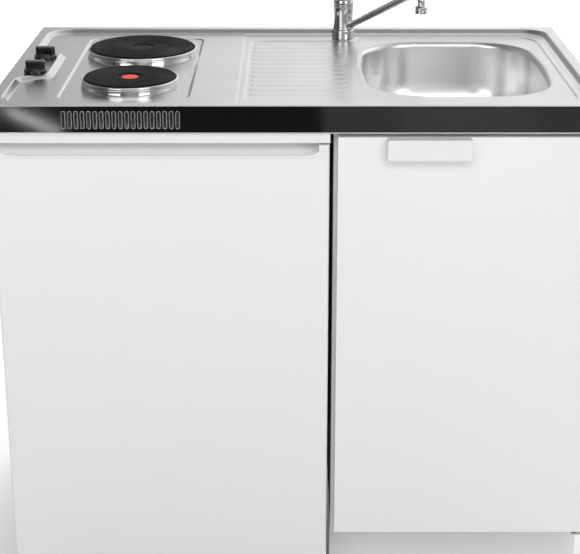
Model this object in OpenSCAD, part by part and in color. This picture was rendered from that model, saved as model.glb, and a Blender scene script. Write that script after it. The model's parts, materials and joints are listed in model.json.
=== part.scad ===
// Kitchenette unit: a pressed steel worktop with sink, mixer tap and two
// hotplates, carried by a refrigerator on the left and a sink base cabinet on
// the right. Millimetres, +Z up. The origin is on the floor, at the middle of
// the footprint. X runs left to right, and Y runs front to back.
// Lengths called "from the front" count from the worktop's front edge.

/* [Unit] */
// Width of the worktop and of the whole unit
unit_w = 1000; // [990:5:1060]
// Depth of the worktop, front edge to back edge
worktop_d = 600; // [600:5:640]
// Height of the worktop's border above the floor
rim_h = 895; // [880:5:920]

/* [Worktop] */
// Thickness of the steel sheet
sheet_t = 1.5; // [1.2:0.1:1.8]
// Height of the aprons that stand on the refrigerator
apron_h = 46; // [44:1:52]
// Height of the folded lip along the back
back_lip_h = 20; // [14:1:24]
// Depth of the return fold under the fascia
front_fold_d = 18; // [12:1:18]
// Width of the flat border round the pan
border_w = 21; // [18:1:24]
// Drop from the border to the pressed pan
pan_drop = 8; // [7:0.5:10]
// Corner radius of the pan
pan_r = 45; // [30:1:60]
// Drop from the pan to the hob recess
hob_drop = 2; // [1:0.5:3]
// Width of the hob recess
hob_w = 220; // [212:1:226]
// Front-to-back length of the hob recess
hob_d = 461; // [450:1:470]
// Corner radius of the hob recess
hob_r = 20; // [12:1:30]
// Hob recess, from the worktop's left edge
hob_left = 102; // [94:1:106]
// Hob recess, from the front
hob_front = 72; // [64:1:80]

/* [Sink] */
// Width of the shallow sink pan, to its left edge from the pan's right wall
sink_pan_w = 583; // [570:1:590]
// Drop from the pan to the sink pan
sink_drop = 1; // [0.8:0.1:1.4]
// Drop from the sink pan to the drainer
drainer_drop = 2; // [1:0.5:3]
// Drainer recess, from the worktop's right edge to its left side
drainer_w = 592; // [580:1:598]
// Drainer recess, right side from the worktop's right edge
drainer_right = 40; // [34:1:44]
// Drainer recess, from the front
drainer_front = 60; // [54:1:66]
// Drainer recess, back edge beside the tap, from the front
drainer_back = 520; // [510:1:522]
// Bowl recess, back edge from the front
bowl_back = 552; // [546:1:560]
// Corner radius of the drainer and bowl recess
drainer_r = 32; // [20:1:40]
// Number of drainer ribs
rib_count = 13; // [8:1:13]
// Pitch of the drainer ribs
rib_pitch = 31.5; // [28:0.5:32]
// Width of a drainer rib
rib_w = 15; // [10:1:20]
// Length of a drainer rib
rib_len = 165; // [140:1:170]
// Height of a drainer rib
rib_h = 2; // [1:0.5:3]
// Front rib, from the front
rib_front = 114; // [105:1:118]
// Left end of the ribs, from the drainer's left side
rib_left = 9; // [6:1:14]
// Inner width of the bowl
bowl_w = 322; // [300:1:326]
// Inner front-to-back length of the bowl
bowl_d = 404; // [380:1:408]
// Depth of the bowl below the drainer
bowl_depth = 150; // [130:1:170]
// Thickness of the bowl's sheet
bowl_t = 1.2; // [0.8:0.1:1.5]
// Corner radius of the bowl
bowl_r = 110; // [80:1:120]
// Radius of the rolled lip of the bowl
lip_r = 7; // [5:0.5:8]
// Radius between the bowl's wall and floor
bowl_floor_r = 30; // [15:1:40]
// Middle of the bowl, from the worktop's right edge
bowl_right = 226; // [224:1:230]
// Middle of the bowl, from the front
bowl_mid = 311; // [308:1:314]

/* [Hob] */
// Diameter of the rear hotplate
rear_plate_dia = 190; // [180:1:192]
// Diameter of the front hotplate
front_plate_dia = 155; // [145:1:165]
// Middle of the rear hotplate, from the front
rear_plate_y = 396; // [390:1:400]
// Middle of the front hotplate, from the front
front_plate_y = 168; // [164:1:176]
// Middle of the hotplates, from the hob recess's left side
plate_x_offset = 113; // [111:1:114]
// Height of the hotplates above the hob recess
plate_rise = 17.5; // [14:0.5:20]
// Thickness of the cast iron
plate_t = 15; // [13:0.5:18]
// Diameter of the hollow in the middle of a hotplate
plate_hollow_dia = 46; // [36:1:56]
// Depth of that hollow
plate_hollow_d = 2; // [1.5:0.5:3]
// Width of the steel ring round a hotplate
ring_w = 5.3; // [4:0.1:6]
// Diameter of the marker on the rapid hotplate
marker_dia = 28; // [18:1:34]
// Thickness of the marker
marker_t = 1; // [0.6:0.2:1.4]

/* [Knobs] */
// Knob axes, from the worktop's left edge
knob_left = 47; // [45:1:50]
// Front knob, from the front
front_knob_y = 222; // [218:1:226]
// Rear knob, from the front
rear_knob_y = 332; // [328:1:336]
// Diameter of a knob's skirt
knob_dia = 40; // [34:1:42]
// Height of a knob
knob_h = 19; // [15:1:24]
// Height of a knob's skirt
knob_skirt_h = 6; // [4:1:9]
// Width of a knob's grip bar
grip_w = 11; // [9:1:16]
// Diameter of a regulator's spindle
spindle_dia = 6; // [5:0.5:7]
// Middle of the knob tab, from the front
tab_y = 296; // [290:1:300]
// Width of the knob tab, from the border's inside
tab_w = 51; // [50:1:56]
// Front-to-back length of the knob tab at the border
tab_len = 224; // [214:2:240]
// How far each end of the tab draws in
tab_slope = 31; // [20:1:36]
// Width of a regulator
regulator_w = 40; // [36:1:42]
// Height of a regulator's case
regulator_h = 26; // [20:1:28]

/* [Fascia] */
// Thickness of the fascia
fascia_t = 2; // [1.5:0.5:3]
// Number of ventilation slots
slot_count = 19; // [6:1:19]
// Pitch of the slots
slot_pitch = 10.1; // [9:0.1:11]
// Width of a slot
slot_w = 5.2; // [3:0.1:7]
// Height of a slot
slot_h = 28; // [20:1:32]
// First slot, from the worktop's left edge
slot_left = 125; // [110:1:140]

/* [Tap] */
// Tap axis, from the worktop's right edge
tap_right = 412; // [408:1:416]
// Tap axis, from the front
tap_y = 546; // [545:1:552]
// Diameter of the tap's base
tap_base_dia = 42.5; // [38:0.5:44]
// Height of the tap's base
tap_base_h = 17; // [12:1:20]
// Diameter of the turning body
tap_body_dia = 38.3; // [36:0.1:40]
// Height of the joint above the deck, between the body and the dome
tap_joint_h = 64; // [60:1:72]
// Height of the lever's tilt axis above that joint
ball_rise = 10; // [9:0.5:14]
// Diameter of the core that the body turns on
tap_core_dia = 30; // [26:1:31]
// Diameter of the spout
spout_dia = 15.5; // [12:0.5:18]
// Length of the spout from the tap's axis, along the ground
spout_reach = 210; // [180:5:230]
// Rise of the spout in degrees
spout_rise = 26.5; // [15:0.5:30]
// Direction of the spout, degrees from the front towards the right
spout_turn = 40; // [20:1:60]
// Height above the deck where the spout leaves the tap's axis
spout_root_h = 17; // [17:1:26]
// Diameter of the aerator
aerator_dia = 22; // [18:1:26]
// Outer radius of the lever's cap
cap_r = 22; // [21.5:0.5:23]
// Thickness of the lever's cap
cap_t = 2.5; // [2:0.5:3]
// Length of the lever's handle
lever_len = 95; // [70:5:120]
// Length of the copper tails below the deck
tail_len = 330; // [250:10:400]
// Diameter of a copper tail
tail_dia = 10; // [8:1:12]

/* [Waste] */
// Diameter of the waste's flange
waste_flange_dia = 90; // [70:1:110]
// Diameter of the waste's tube, inside
waste_bore = 52; // [40:1:60]
// Length of the waste's tube below the bowl
waste_len = 45; // [36:1:60]
// Diameter of the bottle trap
trap_dia = 64; // [56:1:80]
// Height of the bottle trap
trap_h = 110; // [90:1:140]
// Diameter of the waste pipe
waste_pipe_dia = 40; // [32:1:46]
// Overflow, from the front
overflow_y = 285; // [270:1:300]
// Overflow, below the border
overflow_drop = 30; // [28:1:40]
// Diameter of the overflow's hole in the bowl
overflow_dia = 22; // [18:1:24]
// Diameter of the overflow pipe
overflow_pipe_dia = 20; // [16:1:22]

/* [Refrigerator] */
// Width of the refrigerator
fridge_w = 550; // [540:1:560]
// Thickness of the body's insulated walls
fridge_wall = 40; // [30:1:42]
// Thickness of the outer sheet
skin_t = 1; // [0.6:0.1:1.2]
// Thickness of the plastic liners
liner_t = 1.5; // [1:0.1:2]
// Height of the levelling feet
fridge_foot_h = 25; // [15:1:35]
// Gap between the refrigerator's back and the worktop's back edge
fridge_back_gap = 10; // [5:1:20]
// Thickness of the door, without its gasket
fridge_door_t = 45; // [40:1:50]
// Thickness of the gasket
gasket_t = 10; // [8:1:12]
// Width of the gasket
gasket_w = 16; // [12:1:18]
// Bottom of the door above the floor
fridge_door_z = 50; // [48:1:70]
// Height of the grip moulding on top of the door
grip_cap_h = 22; // [18:1:30]
// Height of the trim strip above the door
trim_h = 17; // [12:1:20]
// Depth of the compressor niche
niche_d = 170; // [150:5:190]
// Height of the compressor niche
niche_h = 205; // [190:5:240]
// Number of glass shelves
shelf_count = 3; // [2:1:4]
// Thickness of a glass shelf
shelf_t = 4; // [3:0.5:6]
// Height of the crisper
crisper_h = 150; // [120:5:170]
// Front-to-back depth of a door rack
rack_d = 62; // [40:1:62]
// Height of a door rack
rack_h = 80; // [50:1:120]
// Number of door racks
rack_count = 3; // [1:1:3]
// Diameter of a refrigerator hinge pin
fridge_pin_dia = 8; // [6:0.5:9]
// Diameter of the thermostat's dial
dial_dia = 28; // [22:1:32]
// Diameter of the compressor
compressor_dia = 140; // [120:2:150]

/* [Cabinet] */
// Gap between the refrigerator and the cabinet
cabinet_gap = 6; // [2:1:10]
// Thickness of the boards
board_t = 16; // [15:1:19]
// Thickness of the back panel
back_t = 6; // [3:1:8]
// Height of the plinth and feet
plinth_h = 120; // [100:5:150]
// Setback of the plinth board from the carcass's front
plinth_setback = 40; // [20:5:60]
// Depth of the rails under the worktop
rail_h = 80; // [60:5:100]
// Thickness of the cabinet door
door_t = 18; // [16:1:19]
// Visible edge of the carcass's left board beside the door
door_reveal = 6.5; // [2:0.5:8]
// Handle's left end, from the door's left edge
handle_left = 77.5; // [40:0.5:120]
// Length of the handle
handle_len = 137; // [96:1:160]
// Height of the handle
handle_h = 35; // [25:1:45]
// How far the handle stands out from the door
handle_d = 18; // [14:1:30]
// Thickness of the handle's shell
handle_t = 3; // [2:0.5:4]
// Diameter of a cabinet hinge pin
door_pin_dia = 6; // [5:0.5:7]
// Diameter of the hole in the back panel for the waste pipe
pipe_hole_dia = 50; // [48:1:70]

/* [Gaps] */
// Setback of both doors from the worktop's front edge
door_inset = 2; // [2:0.5:4]
// Radial clearance of a turning fit
run_gap = 0.05; // [0.02:0.01:0.08]
// Gap between a piece and one that moves past it
free_gap = 0.3; // [0.3:0.1:0.5]
// Gap round a door and between fronts
front_gap = 3; // [2:0.5:4]

/* [Hidden] */
$fn = 64;
cut = 1;                                    // overrun of a cutting solid

// Plan of the unit
handle_lead = handle_d - door_inset;
left_x = -unit_w / 2;
right_x = unit_w / 2;
front_y = -(worktop_d - handle_lead) / 2;
back_y = front_y + worktop_d;
function from_front(d) = front_y + d;

// Levels of the pressed worktop
pan_z = rim_h - pan_drop;
hob_z = pan_z - hob_drop;
sink_z = pan_z - sink_drop;
drainer_z = sink_z - drainer_drop;
apron_z = rim_h - apron_h;

// Sides of the recesses: left, right, front, back
pan_box = [left_x + border_w, right_x - border_w, from_front(border_w), back_y - border_w];
hob_x0 = left_x + hob_left;
hob_box = [hob_x0, hob_x0 + hob_w, from_front(hob_front), from_front(hob_front + hob_d)];
pan_land = 3;                               // pan left between its wall and the sink pan
sink_box = [pan_box[1] - sink_pan_w, pan_box[1] - pan_land,
            pan_box[2] + pan_land, pan_box[3] - pan_land];
drainer_x0 = right_x - drainer_w;
tap_x = right_x - tap_right;
tap_pos_y = from_front(tap_y);
tap_land = 3;                               // deck left between the tap and the bowl recess
bowl_recess_x0 = tap_x + tap_base_dia / 2 + tap_land;
drainer_box = [drainer_x0, right_x - drainer_right,
               from_front(drainer_front), from_front(drainer_back)];
bowl_box = [bowl_recess_x0, right_x - drainer_right,
            from_front(drainer_front), from_front(bowl_back)];
bowl_x = right_x - bowl_right;
bowl_y = from_front(bowl_mid);
bowl_z = drainer_z - bowl_depth;

// Hob
plate_x = hob_x0 + plate_x_offset;
rear_y = from_front(rear_plate_y);
plate_front_y = from_front(front_plate_y);
plate_z = hob_z + plate_rise;
plate_land = 2;                             // hole in the worktop inside the ring's flange
clamp_w = 22;
clamp_t = 2;
clamp_stud_r = 3;

// Knobs
knob_x = left_x + knob_left;
front_knob_pos = from_front(front_knob_y);
rear_knob_pos = from_front(rear_knob_y);
tab_mid = from_front(tab_y);
spindle_r = spindle_dia / 2;
bush_r = 14;
bush_z = pan_z - sheet_t - 2;               // top of the regulator's case
knob_lift = 0.5;                            // knob above the tab
knob_socket_h = 12;

// Tap
deck_z = sink_z;
core_r = tap_core_dia / 2;
body_r = tap_body_dia / 2;
joint_z = deck_z + tap_joint_h;
ball_z = joint_z + ball_rise;               // centre of the lever's tilt
dome_r = body_r - 0.65;
cap_inner_r = cap_r - cap_t;
spout_dir = spout_turn - 90;
shank_r = 12;
shank_len = 40;
nut_z = deck_z - sheet_t;

// Waste and overflow
bowl_under = bowl_z - bowl_t;
flange_r = waste_flange_dia / 2;
bore_r = waste_bore / 2;
tube_t = 2;
waste_top_t = 1.5;
waste_low = bowl_under - waste_len;
trap_r = trap_dia / 2;
trap_top = waste_low + 5;
trap_low = trap_top - trap_h;
pipe_r = waste_pipe_dia / 2;
pipe_z = trap_top - pipe_r - 12;
bowl_wall_x = bowl_x + bowl_w / 2;
overflow_pos_y = from_front(overflow_y);
overflow_z = rim_h - overflow_drop;
overflow_r = overflow_pipe_dia / 2;
grille_neck = 3;
elbow_r = overflow_r + 2;                   // bends of the overflow pipe
overflow_x = bowl_wall_x + bowl_t + grille_neck + elbow_r;
overflow_low = bowl_under - 22;

// Refrigerator
fridge_x0 = left_x;
fridge_x1 = left_x + fridge_w;
door_front_y = from_front(door_inset);
fridge_door_back = door_front_y + fridge_door_t;
fridge_y0 = fridge_door_back + gasket_t;
fridge_y1 = back_y - fridge_back_gap;
fridge_z1 = apron_z;
cave_x0 = fridge_x0 + fridge_wall;
cave_x1 = fridge_x1 - fridge_wall;
cave_z0 = fridge_foot_h + fridge_wall;
cave_z1 = fridge_z1 - fridge_wall;
cave_y1 = fridge_y1 - fridge_wall - 20;     // the back wall is thicker by the cooling plate
niche_y = fridge_y1 - niche_d;
niche_z = fridge_foot_h + niche_h;
step_y = niche_y - fridge_wall;
step_z = niche_z + fridge_wall;
fridge_pin_r = fridge_pin_dia / 2;
fridge_pin_x = fridge_x1 - 13;
fridge_pin_y = door_front_y + 13;
fdoor_x0 = fridge_x0 + front_gap;
door_side_in = 1;
fdoor_x1 = fridge_x1 - door_side_in;
fdoor_z1 = apron_z - trim_h - front_gap;
hinge_t = 3;
dyke_in_left = 20;
dyke_in_right = 13;                         // the pin's side
dyke_x0 = cave_x0 + dyke_in_left;
dyke_x1 = cave_x1 - dyke_in_right;
dyke_d = 28;
dyke_w = 24;
rack_x0 = dyke_x0 + dyke_w;
rack_x1 = dyke_x1 - dyke_w;
rack_t = 2;
rack_y1 = fridge_door_back + gasket_t + dyke_d + rack_d;
shelf_clear = 10;                           // shelves' front edge behind the racks
shelf_y0 = rack_y1 + shelf_clear;
shelf_back_gap = 5;
crisper_back_gap = 4;
grip_hole_h = 15;
shelf_gap = 0.3;
ledge_w = 6;
crisper_z = step_z + 10;
dial_r = dial_dia / 2;

// Cabinet
cab_x0 = fridge_x1 + cabinet_gap;
cab_x1 = right_x - sheet_t - free_gap;
cab_y0 = door_front_y + door_t + 2;
cab_y1 = back_y - 15;
cab_z1 = drainer_z - sheet_t;
cab_in0 = cab_x0 + board_t;
cab_in1 = cab_x1 - board_t;
door_x0 = cab_x0 + door_reveal;
door_x1 = right_x - 3;
door_z0 = plinth_h + front_gap;
door_z1 = apron_z - 7;
door_pin_r = door_pin_dia / 2;
door_pin_x = door_x1 - 6;
door_pin_y = door_front_y + 6;
rail_y1 = back_y - 17;

// Small fixed sizes
press_gap = 0.02;
plate_rim = 6;
stud_end = 8;
clamp_z = hob_z - sheet_t;
ring_t = 1.2;
ring_wall = 2;
ring_flare = 1.3;
bead_drop = 3;
nut_h = 6;
nut_rim = 3.5;
spindle_depth = 18;
terminal_x = hob_x0 + hob_w + 8;
terminal_w = 60;
terminal_d = 40;
terminal_y = back_y - 70;
terminal_z = apron_z + 7;
gland_z = terminal_z + 12;
gland_len = 20;
gland_r = 9;
gland_bore_r = 4.5;
tube_r = bore_r + tube_t;
seat_w = 4;
seat_z = bowl_z - 22;
strainer_t = 1.2;
strainer_hole_r = 3;
stem_r = 3;
stem_h = 9;
trap_t = 2.5;
socket_len = 18;
pipe_end_gap = 5;
grille_t = 1.5;
base_round = 3;
turn_pin_r = 6;
pin_depth = 28;
fork_gap = 8;
fork_t = 3;
fork_out = 9;
boss_half = 4;
boss_r = 4.5;
cross_pin_r = 2;
stem_half = 2.5;
dome_t = 2;
dome_open = 40;
cap_cover = 66;
spout_drop = 6;
spout_bend_r = 14;
aerator_h = 14;
lever_rise = -10;
lever_z = 19;
lever_w = 18;
lever_t = 6;
tail_pitch = 12;
foot_r = 20;
foot_in = 45;
foot_pad_h = 8;
pin_in = 15;
hinge_w = 24;
bracket_in = 4;
trim_cover = 3;
handle_bevel = 4;
crisper_gap = 4;
crisper_t = 2;
grip_hole_w = 120;
scoop_in = 17;
scoop_r = 26;
scoop_d = 18;
dyke_gap = 18;
thermo_w = 56;
thermo_d = 80;
thermo_h = 42;
thermo_back = 20;
dial_t = 8;
dial_shaft = 14;
dial_shaft_r = 3;
compressor_h = 150;
compressor_leg = 12;
compressor_foot_r = 10;
foot_disc_h = 6;

// ---- helpers ----

// Rounded rectangle: box = [left, right, front, back], its own radius at the
// left and right corners, grown by grow on every side
module plan(box, left_r, right_r, grow = 0) {
    x0 = box[0] - grow;
    x1 = box[1] + grow;
    y0 = box[2] - grow;
    y1 = box[3] + grow;
    rl = left_r + grow;
    rr = right_r + grow;
    translate([x0 + rl, y0]) square([x1 - rr - x0 - rl, y1 - y0]);
    translate([x0, y0 + rl]) square([rl, y1 - y0 - 2 * rl]);
    translate([x1 - rr, y0 + rr]) square([rr, y1 - y0 - 2 * rr]);
    for (y = [y0 + rl, y1 - rl]) translate([x0 + rl, y]) circle(rl);
    for (y = [y0 + rr, y1 - rr]) translate([x1 - rr, y]) circle(rr);
}

// A box between two corners
module block(low, high) {
    translate(low) cube(high - low);
}

// A round bar from z0 to z1
module bar(x, y, z0, z1, r) {
    translate([x, y, z0]) cylinder(h = z1 - z0, r = r);
}

// A pressed tray: floor and wall of sheet, open at the top
module tray(z_up, z_floor) {
    translate([0, 0, z_floor - sheet_t]) difference() {
        linear_extrude(z_up - z_floor + sheet_t) children(0);
        translate([0, 0, sheet_t]) linear_extrude(z_up - z_floor + cut) children(1);
    }
}

// A tall cutter from a plan shape
module through() {
    translate([0, 0, apron_z]) linear_extrude(2 * apron_h) children();
}

module pan_plan(grow = 0) plan(pan_box, pan_r, pan_r, grow);
module hob_plan(grow = 0) plan(hob_box, hob_r, hob_r, grow);
module sink_plan(grow = 0) plan(sink_box, hob_r, pan_r - pan_land, grow);

module drainer_plan(grow = 0) {
    plan(drainer_box, drainer_r, drainer_r, grow);
    plan(bowl_box, hob_r, drainer_r + hob_r, grow);
}

module bowl_plan(grow = 0) {
    half_w = bowl_w / 2;
    half_d = bowl_d / 2;
    plan([bowl_x - half_w, bowl_x + half_w, bowl_y - half_d, bowl_y + half_d],
         bowl_r, bowl_r, grow);
}

module tab_plan(inset = 0) {
    x0 = pan_box[0] - sheet_t;
    x1 = pan_box[0] + tab_w - inset;
    half = tab_len / 2 - inset;
    polygon([[x0, tab_mid - half], [x1, tab_mid - half + tab_slope],
             [x1, tab_mid + half - tab_slope], [x0, tab_mid + half]]);
}

// ---- worktop ----

module worktop_border() {
    difference() {
        translate([left_x, front_y, rim_h - sheet_t]) cube([unit_w, worktop_d, sheet_t]);
        through() pan_plan();
    }
}

module worktop_pan() {
    difference() {
        tray(rim_h, pan_z) {
            pan_plan(sheet_t);
            pan_plan();
        }
        through() hob_plan();
        through() sink_plan();
        translate([0, 0, apron_z]) linear_extrude(pan_z - apron_z + cut) tab_plan(sheet_t);
    }
}

module worktop_tab() {
    difference() {
        translate([0, 0, pan_z - sheet_t]) linear_extrude(rim_h - pan_z + sheet_t) tab_plan();
        translate([0, 0, pan_z - sheet_t - cut])
            linear_extrude(rim_h - pan_z + cut) tab_plan(sheet_t);
        for (y = [front_knob_pos, rear_knob_pos])
            bar(knob_x, y, pan_z, rim_h + cut, spindle_r + 1.5);
    }
}

module worktop_hob() {
    difference() {
        tray(pan_z, hob_z) {
            hob_plan(sheet_t);
            hob_plan();
        }
        bar(plate_x, rear_y, apron_z, rim_h, rear_plate_dia / 2 + plate_land);
        bar(plate_x, plate_front_y, apron_z, rim_h, front_plate_dia / 2 + plate_land);
    }
}

module worktop_sink() {
    difference() {
        tray(pan_z, sink_z) {
            sink_plan(sheet_t);
            sink_plan();
        }
        through() drainer_plan();
        bar(tap_x, tap_pos_y, apron_z, rim_h, shank_r + 1);
    }
    difference() {
        tray(sink_z, drainer_z) {
            drainer_plan(sheet_t);
            drainer_plan();
        }
        through() bowl_plan(lip_r);
    }
    for (i = [0 : rib_count - 1])
        translate([drainer_x0 + rib_left, from_front(rib_front + i * rib_pitch), drainer_z])
            rib();
}

// One pressed rib, its round ends included in its length
module rib() {
    r = rib_w / 2;
    translate([0, 0, -sheet_t / 2]) linear_extrude(rib_h + sheet_t / 2) {
        translate([r, -r]) square([rib_len - rib_w, rib_w]);
        for (x = [r, rib_len - r]) translate([x, 0]) circle(r);
    }
}

module worktop_aprons() {
    for (x = [left_x, right_x - sheet_t])
        block([x, front_y + fascia_t, apron_z], [x + sheet_t, back_y, rim_h]);
    block([left_x, back_y - sheet_t, rim_h - back_lip_h], [right_x, back_y, rim_h]);
    flange_y = front_y + fascia_t;
    difference() {
        block([left_x, flange_y, apron_z], [right_x, flange_y + sheet_t, rim_h]);
        block([left_x + slot_left - slot_pitch, flange_y - cut, apron_z + 5],
              [left_x + slot_left + slot_count * slot_pitch, flange_y + 2 * sheet_t, rim_h - 5]);
    }
    block([left_x, front_y, apron_z], [right_x, front_y + front_fold_d, apron_z + sheet_t]);
}

module worktop() {
    color("#C8C8C8") {
        worktop_border();
        worktop_pan();
        worktop_tab();
        worktop_hob();
        worktop_sink();
        worktop_aprons();
    }
}

// Half section of the bowl's sheet. 0 is the wall's inner face, + is outwards
module bowl_section() {
    wall_low = bowl_depth - bowl_floor_r;
    intersection() {
        translate([lip_r, -lip_r]) difference() {
            circle(lip_r);
            circle(lip_r - bowl_t);
        }
        translate([0, -lip_r]) square(lip_r);
    }
    translate([0, -wall_low]) square([bowl_t, wall_low - lip_r]);
    intersection() {
        translate([-bowl_floor_r, -wall_low]) difference() {
            circle(bowl_floor_r + bowl_t);
            circle(bowl_floor_r);
        }
        translate([-bowl_floor_r, -bowl_depth - bowl_t]) square(bowl_floor_r + bowl_t);
    }
}

module sink_bowl() {
    mid_w = bowl_w / 2 - bowl_r;
    mid_d = bowl_d / 2 - bowl_r;
    color("#B8B8B8") translate([bowl_x, bowl_y, drainer_z]) difference() {
        union() {
            for (a = [0 : 3]) {
                even = a % 2 == 0;
                across = even ? mid_w : mid_d;
                along = even ? mid_d : mid_w;
                rotate([0, 0, 90 * a]) {
                    translate([across, along, 0]) rotate_extrude(angle = 90)
                        translate([bowl_r, 0]) bowl_section();
                    translate([across + bowl_r, along, 0]) rotate([90, 0, 0])
                        linear_extrude(2 * along) bowl_section();
                }
            }
            translate([0, 0, -bowl_depth - bowl_t]) linear_extrude(bowl_t)
                translate([-bowl_x, -bowl_y]) bowl_plan(-bowl_floor_r);
        }
        bar(0, 0, -bowl_depth - 2 * bowl_t, -bowl_depth + cut, bore_r + tube_t);
        translate([bowl_w / 2 - cut, overflow_pos_y - bowl_y, overflow_z - drainer_z])
            rotate([0, 90, 0]) cylinder(h = bowl_t + 2 * cut, d = overflow_dia);
    }
}

module front_fascia() {
    color("#16161A") difference() {
        block([left_x, front_y, apron_z + sheet_t],
              [right_x, front_y + fascia_t, rim_h - sheet_t]);
        for (i = [0 : slot_count - 1])
            translate([left_x + slot_left + i * slot_pitch, front_y - cut, slot_z()])
                rotate([-90, 0, 0]) linear_extrude(fascia_t + 2 * cut) {
                    square([slot_w, slot_h - slot_w], center = true);
                    for (s = [-1, 1]) translate([0, s * (slot_h - slot_w) / 2])
                        circle(slot_w / 2);
                }
    }
}

function slot_z() = (apron_z + rim_h) / 2 - 1;

// ---- hob ----

module hotplate(y, dia) {
    r = dia / 2;
    low = plate_z - plate_t;
    color("#3A3A3C") {
        difference() {
            bar(plate_x, y, low, plate_z, r);
            bar(plate_x, y, plate_z - plate_hollow_d, plate_z + cut, plate_hollow_dia / 2);
            bar(plate_x, y, low - cut, plate_z - plate_t / 2, r - plate_rim);
        }
        bar(plate_x, y, clamp_z - clamp_t - stud_end, plate_z - plate_t / 2 + cut, clamp_stud_r);
    }
}

// Flange on the worktop, wall, bead beside the cast iron, ledge beneath it
module hotplate_ring(y, dia) {
    r = dia / 2;
    low = plate_z - plate_t;
    bead = (ring_w - ring_flare) / 2;
    color("#C4C4C4") translate([plate_x, y, 0]) rotate_extrude() {
        translate([r + plate_land / 2, hob_z]) square([ring_w - plate_land / 2, ring_t]);
        translate([r + ring_wall, hob_z]) square([ring_t, plate_z - bead_drop - hob_z]);
        translate([r + bead + press_gap, plate_z - bead_drop]) circle(bead);
        translate([r - plate_rim, low - ring_t]) square([plate_rim + ring_wall + ring_t, ring_t]);
    }
}

module hotplate_clamp(y, dia) {
    half = dia / 2 + clamp_w;
    difference() {
        union() {
            block([plate_x - clamp_w / 2, y - half, clamp_z - clamp_t],
                  [plate_x + clamp_w / 2, y + half, clamp_z]);
            bar(plate_x, y, clamp_z - clamp_t - nut_h, clamp_z - clamp_t / 2, 2 * clamp_stud_r);
        }
        bar(plate_x, y, apron_z, hob_z, clamp_stud_r + press_gap);
    }
}

module rear_hotplate() hotplate(rear_y, rear_plate_dia);
module front_hotplate() hotplate(plate_front_y, front_plate_dia);
module rear_hotplate_ring() hotplate_ring(rear_y, rear_plate_dia);
module front_hotplate_ring() hotplate_ring(plate_front_y, front_plate_dia);

module rapid_marker() {
    low = plate_z - plate_hollow_d;
    color("#D8421F") bar(plate_x, plate_front_y, low, low + marker_t, marker_dia / 2);
}

module hotplate_clamps() {
    color("#8E8E8E") {
        hotplate_clamp(rear_y, rear_plate_dia);
        hotplate_clamp(plate_front_y, front_plate_dia);
    }
}

module regulator(y) {
    half = regulator_w / 2;
    color("#D8D2C0") difference() {
        union() {
            block([knob_x - half, y - half, bush_z - regulator_h],
                  [knob_x + half, y + half, bush_z]);
            bar(knob_x, y, bush_z - cut, rim_h - sheet_t, bush_r);
        }
        bar(knob_x, y, bush_z - spindle_depth - 2, rim_h, spindle_r + run_gap);
    }
}

module spindle(y) {
    color("#A8A8A8")
        bar(knob_x, y, bush_z - spindle_depth, rim_h + knob_lift + knob_socket_h, spindle_r);
}

// Round skirt with a grip bar across it
module knob(y) {
    r = knob_dia / 2;
    color("#151515") translate([knob_x, y, rim_h + knob_lift]) difference() {
        union() {
            cylinder(h = knob_skirt_h, r = r);
            translate([0, 0, knob_skirt_h]) cylinder(h = knob_skirt_h / 2, r1 = r, r2 = r - grip_w / 2);
            intersection() {
                cylinder(h = knob_h, r = r);
                translate([-r, -grip_w / 2, 0]) cube([2 * r, grip_w, knob_h]);
            }
        }
        translate([0, 0, -cut]) cylinder(h = knob_socket_h + cut, r = spindle_r + press_gap);
    }
}

module rear_regulator() regulator(rear_knob_pos);
module front_regulator() regulator(front_knob_pos);
module rear_spindle() spindle(rear_knob_pos);
module front_spindle() spindle(front_knob_pos);
module rear_knob() knob(rear_knob_pos);
module front_knob() knob(front_knob_pos);

module terminal_box() {
    color("#E4E4E0") block([terminal_x, terminal_y, terminal_z],
                           [terminal_x + terminal_w, terminal_y + terminal_d, pan_z - sheet_t]);
}

module mains_gland() {
    color("#2A2A2A") translate([terminal_x + terminal_w / 2, terminal_y + terminal_d, gland_z])
        rotate([-90, 0, 0]) difference() {
            union() {
                cylinder(h = gland_len, r = gland_r - 2);
                cylinder(h = gland_len / 2, r = gland_r);
            }
            translate([0, 0, -cut]) cylinder(h = gland_len + 2 * cut, r = gland_bore_r);
        }
}

// ---- waste and overflow ----

module waste_flange() {
    color("#C0C0C0") translate([bowl_x, bowl_y, 0]) difference() {
        union() {
            bar(0, 0, bowl_z, bowl_z + waste_top_t, flange_r);
            bar(0, 0, waste_low, bowl_z + cut, tube_r);
            bar(0, 0, bowl_under - nut_h, bowl_under, tube_r + nut_h);
        }
        bar(0, 0, seat_z, bowl_z + waste_top_t + cut, bore_r);
        bar(0, 0, waste_low - cut, seat_z + cut, bore_r - seat_w);
    }
}

// Lift-out basket with a ring of holes and a finger stem
module strainer() {
    r = bore_r - 1;
    low = seat_z + free_gap;
    color("#B0B0B0") translate([bowl_x, bowl_y, 0]) difference() {
        union() {
            difference() {
                bar(0, 0, low, bowl_z, r);
                bar(0, 0, low + strainer_t, bowl_z + cut, r - strainer_t);
            }
            bar(0, 0, low, bowl_z + stem_h, stem_r);
            bar(0, 0, bowl_z + stem_h - strainer_t, bowl_z + stem_h, 2 * stem_r);
        }
        for (a = [0 : 45 : 315]) rotate([0, 0, a])
            bar(0.62 * r, 0, low - cut, low + strainer_t + cut, strainer_hole_r);
    }
}

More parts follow.
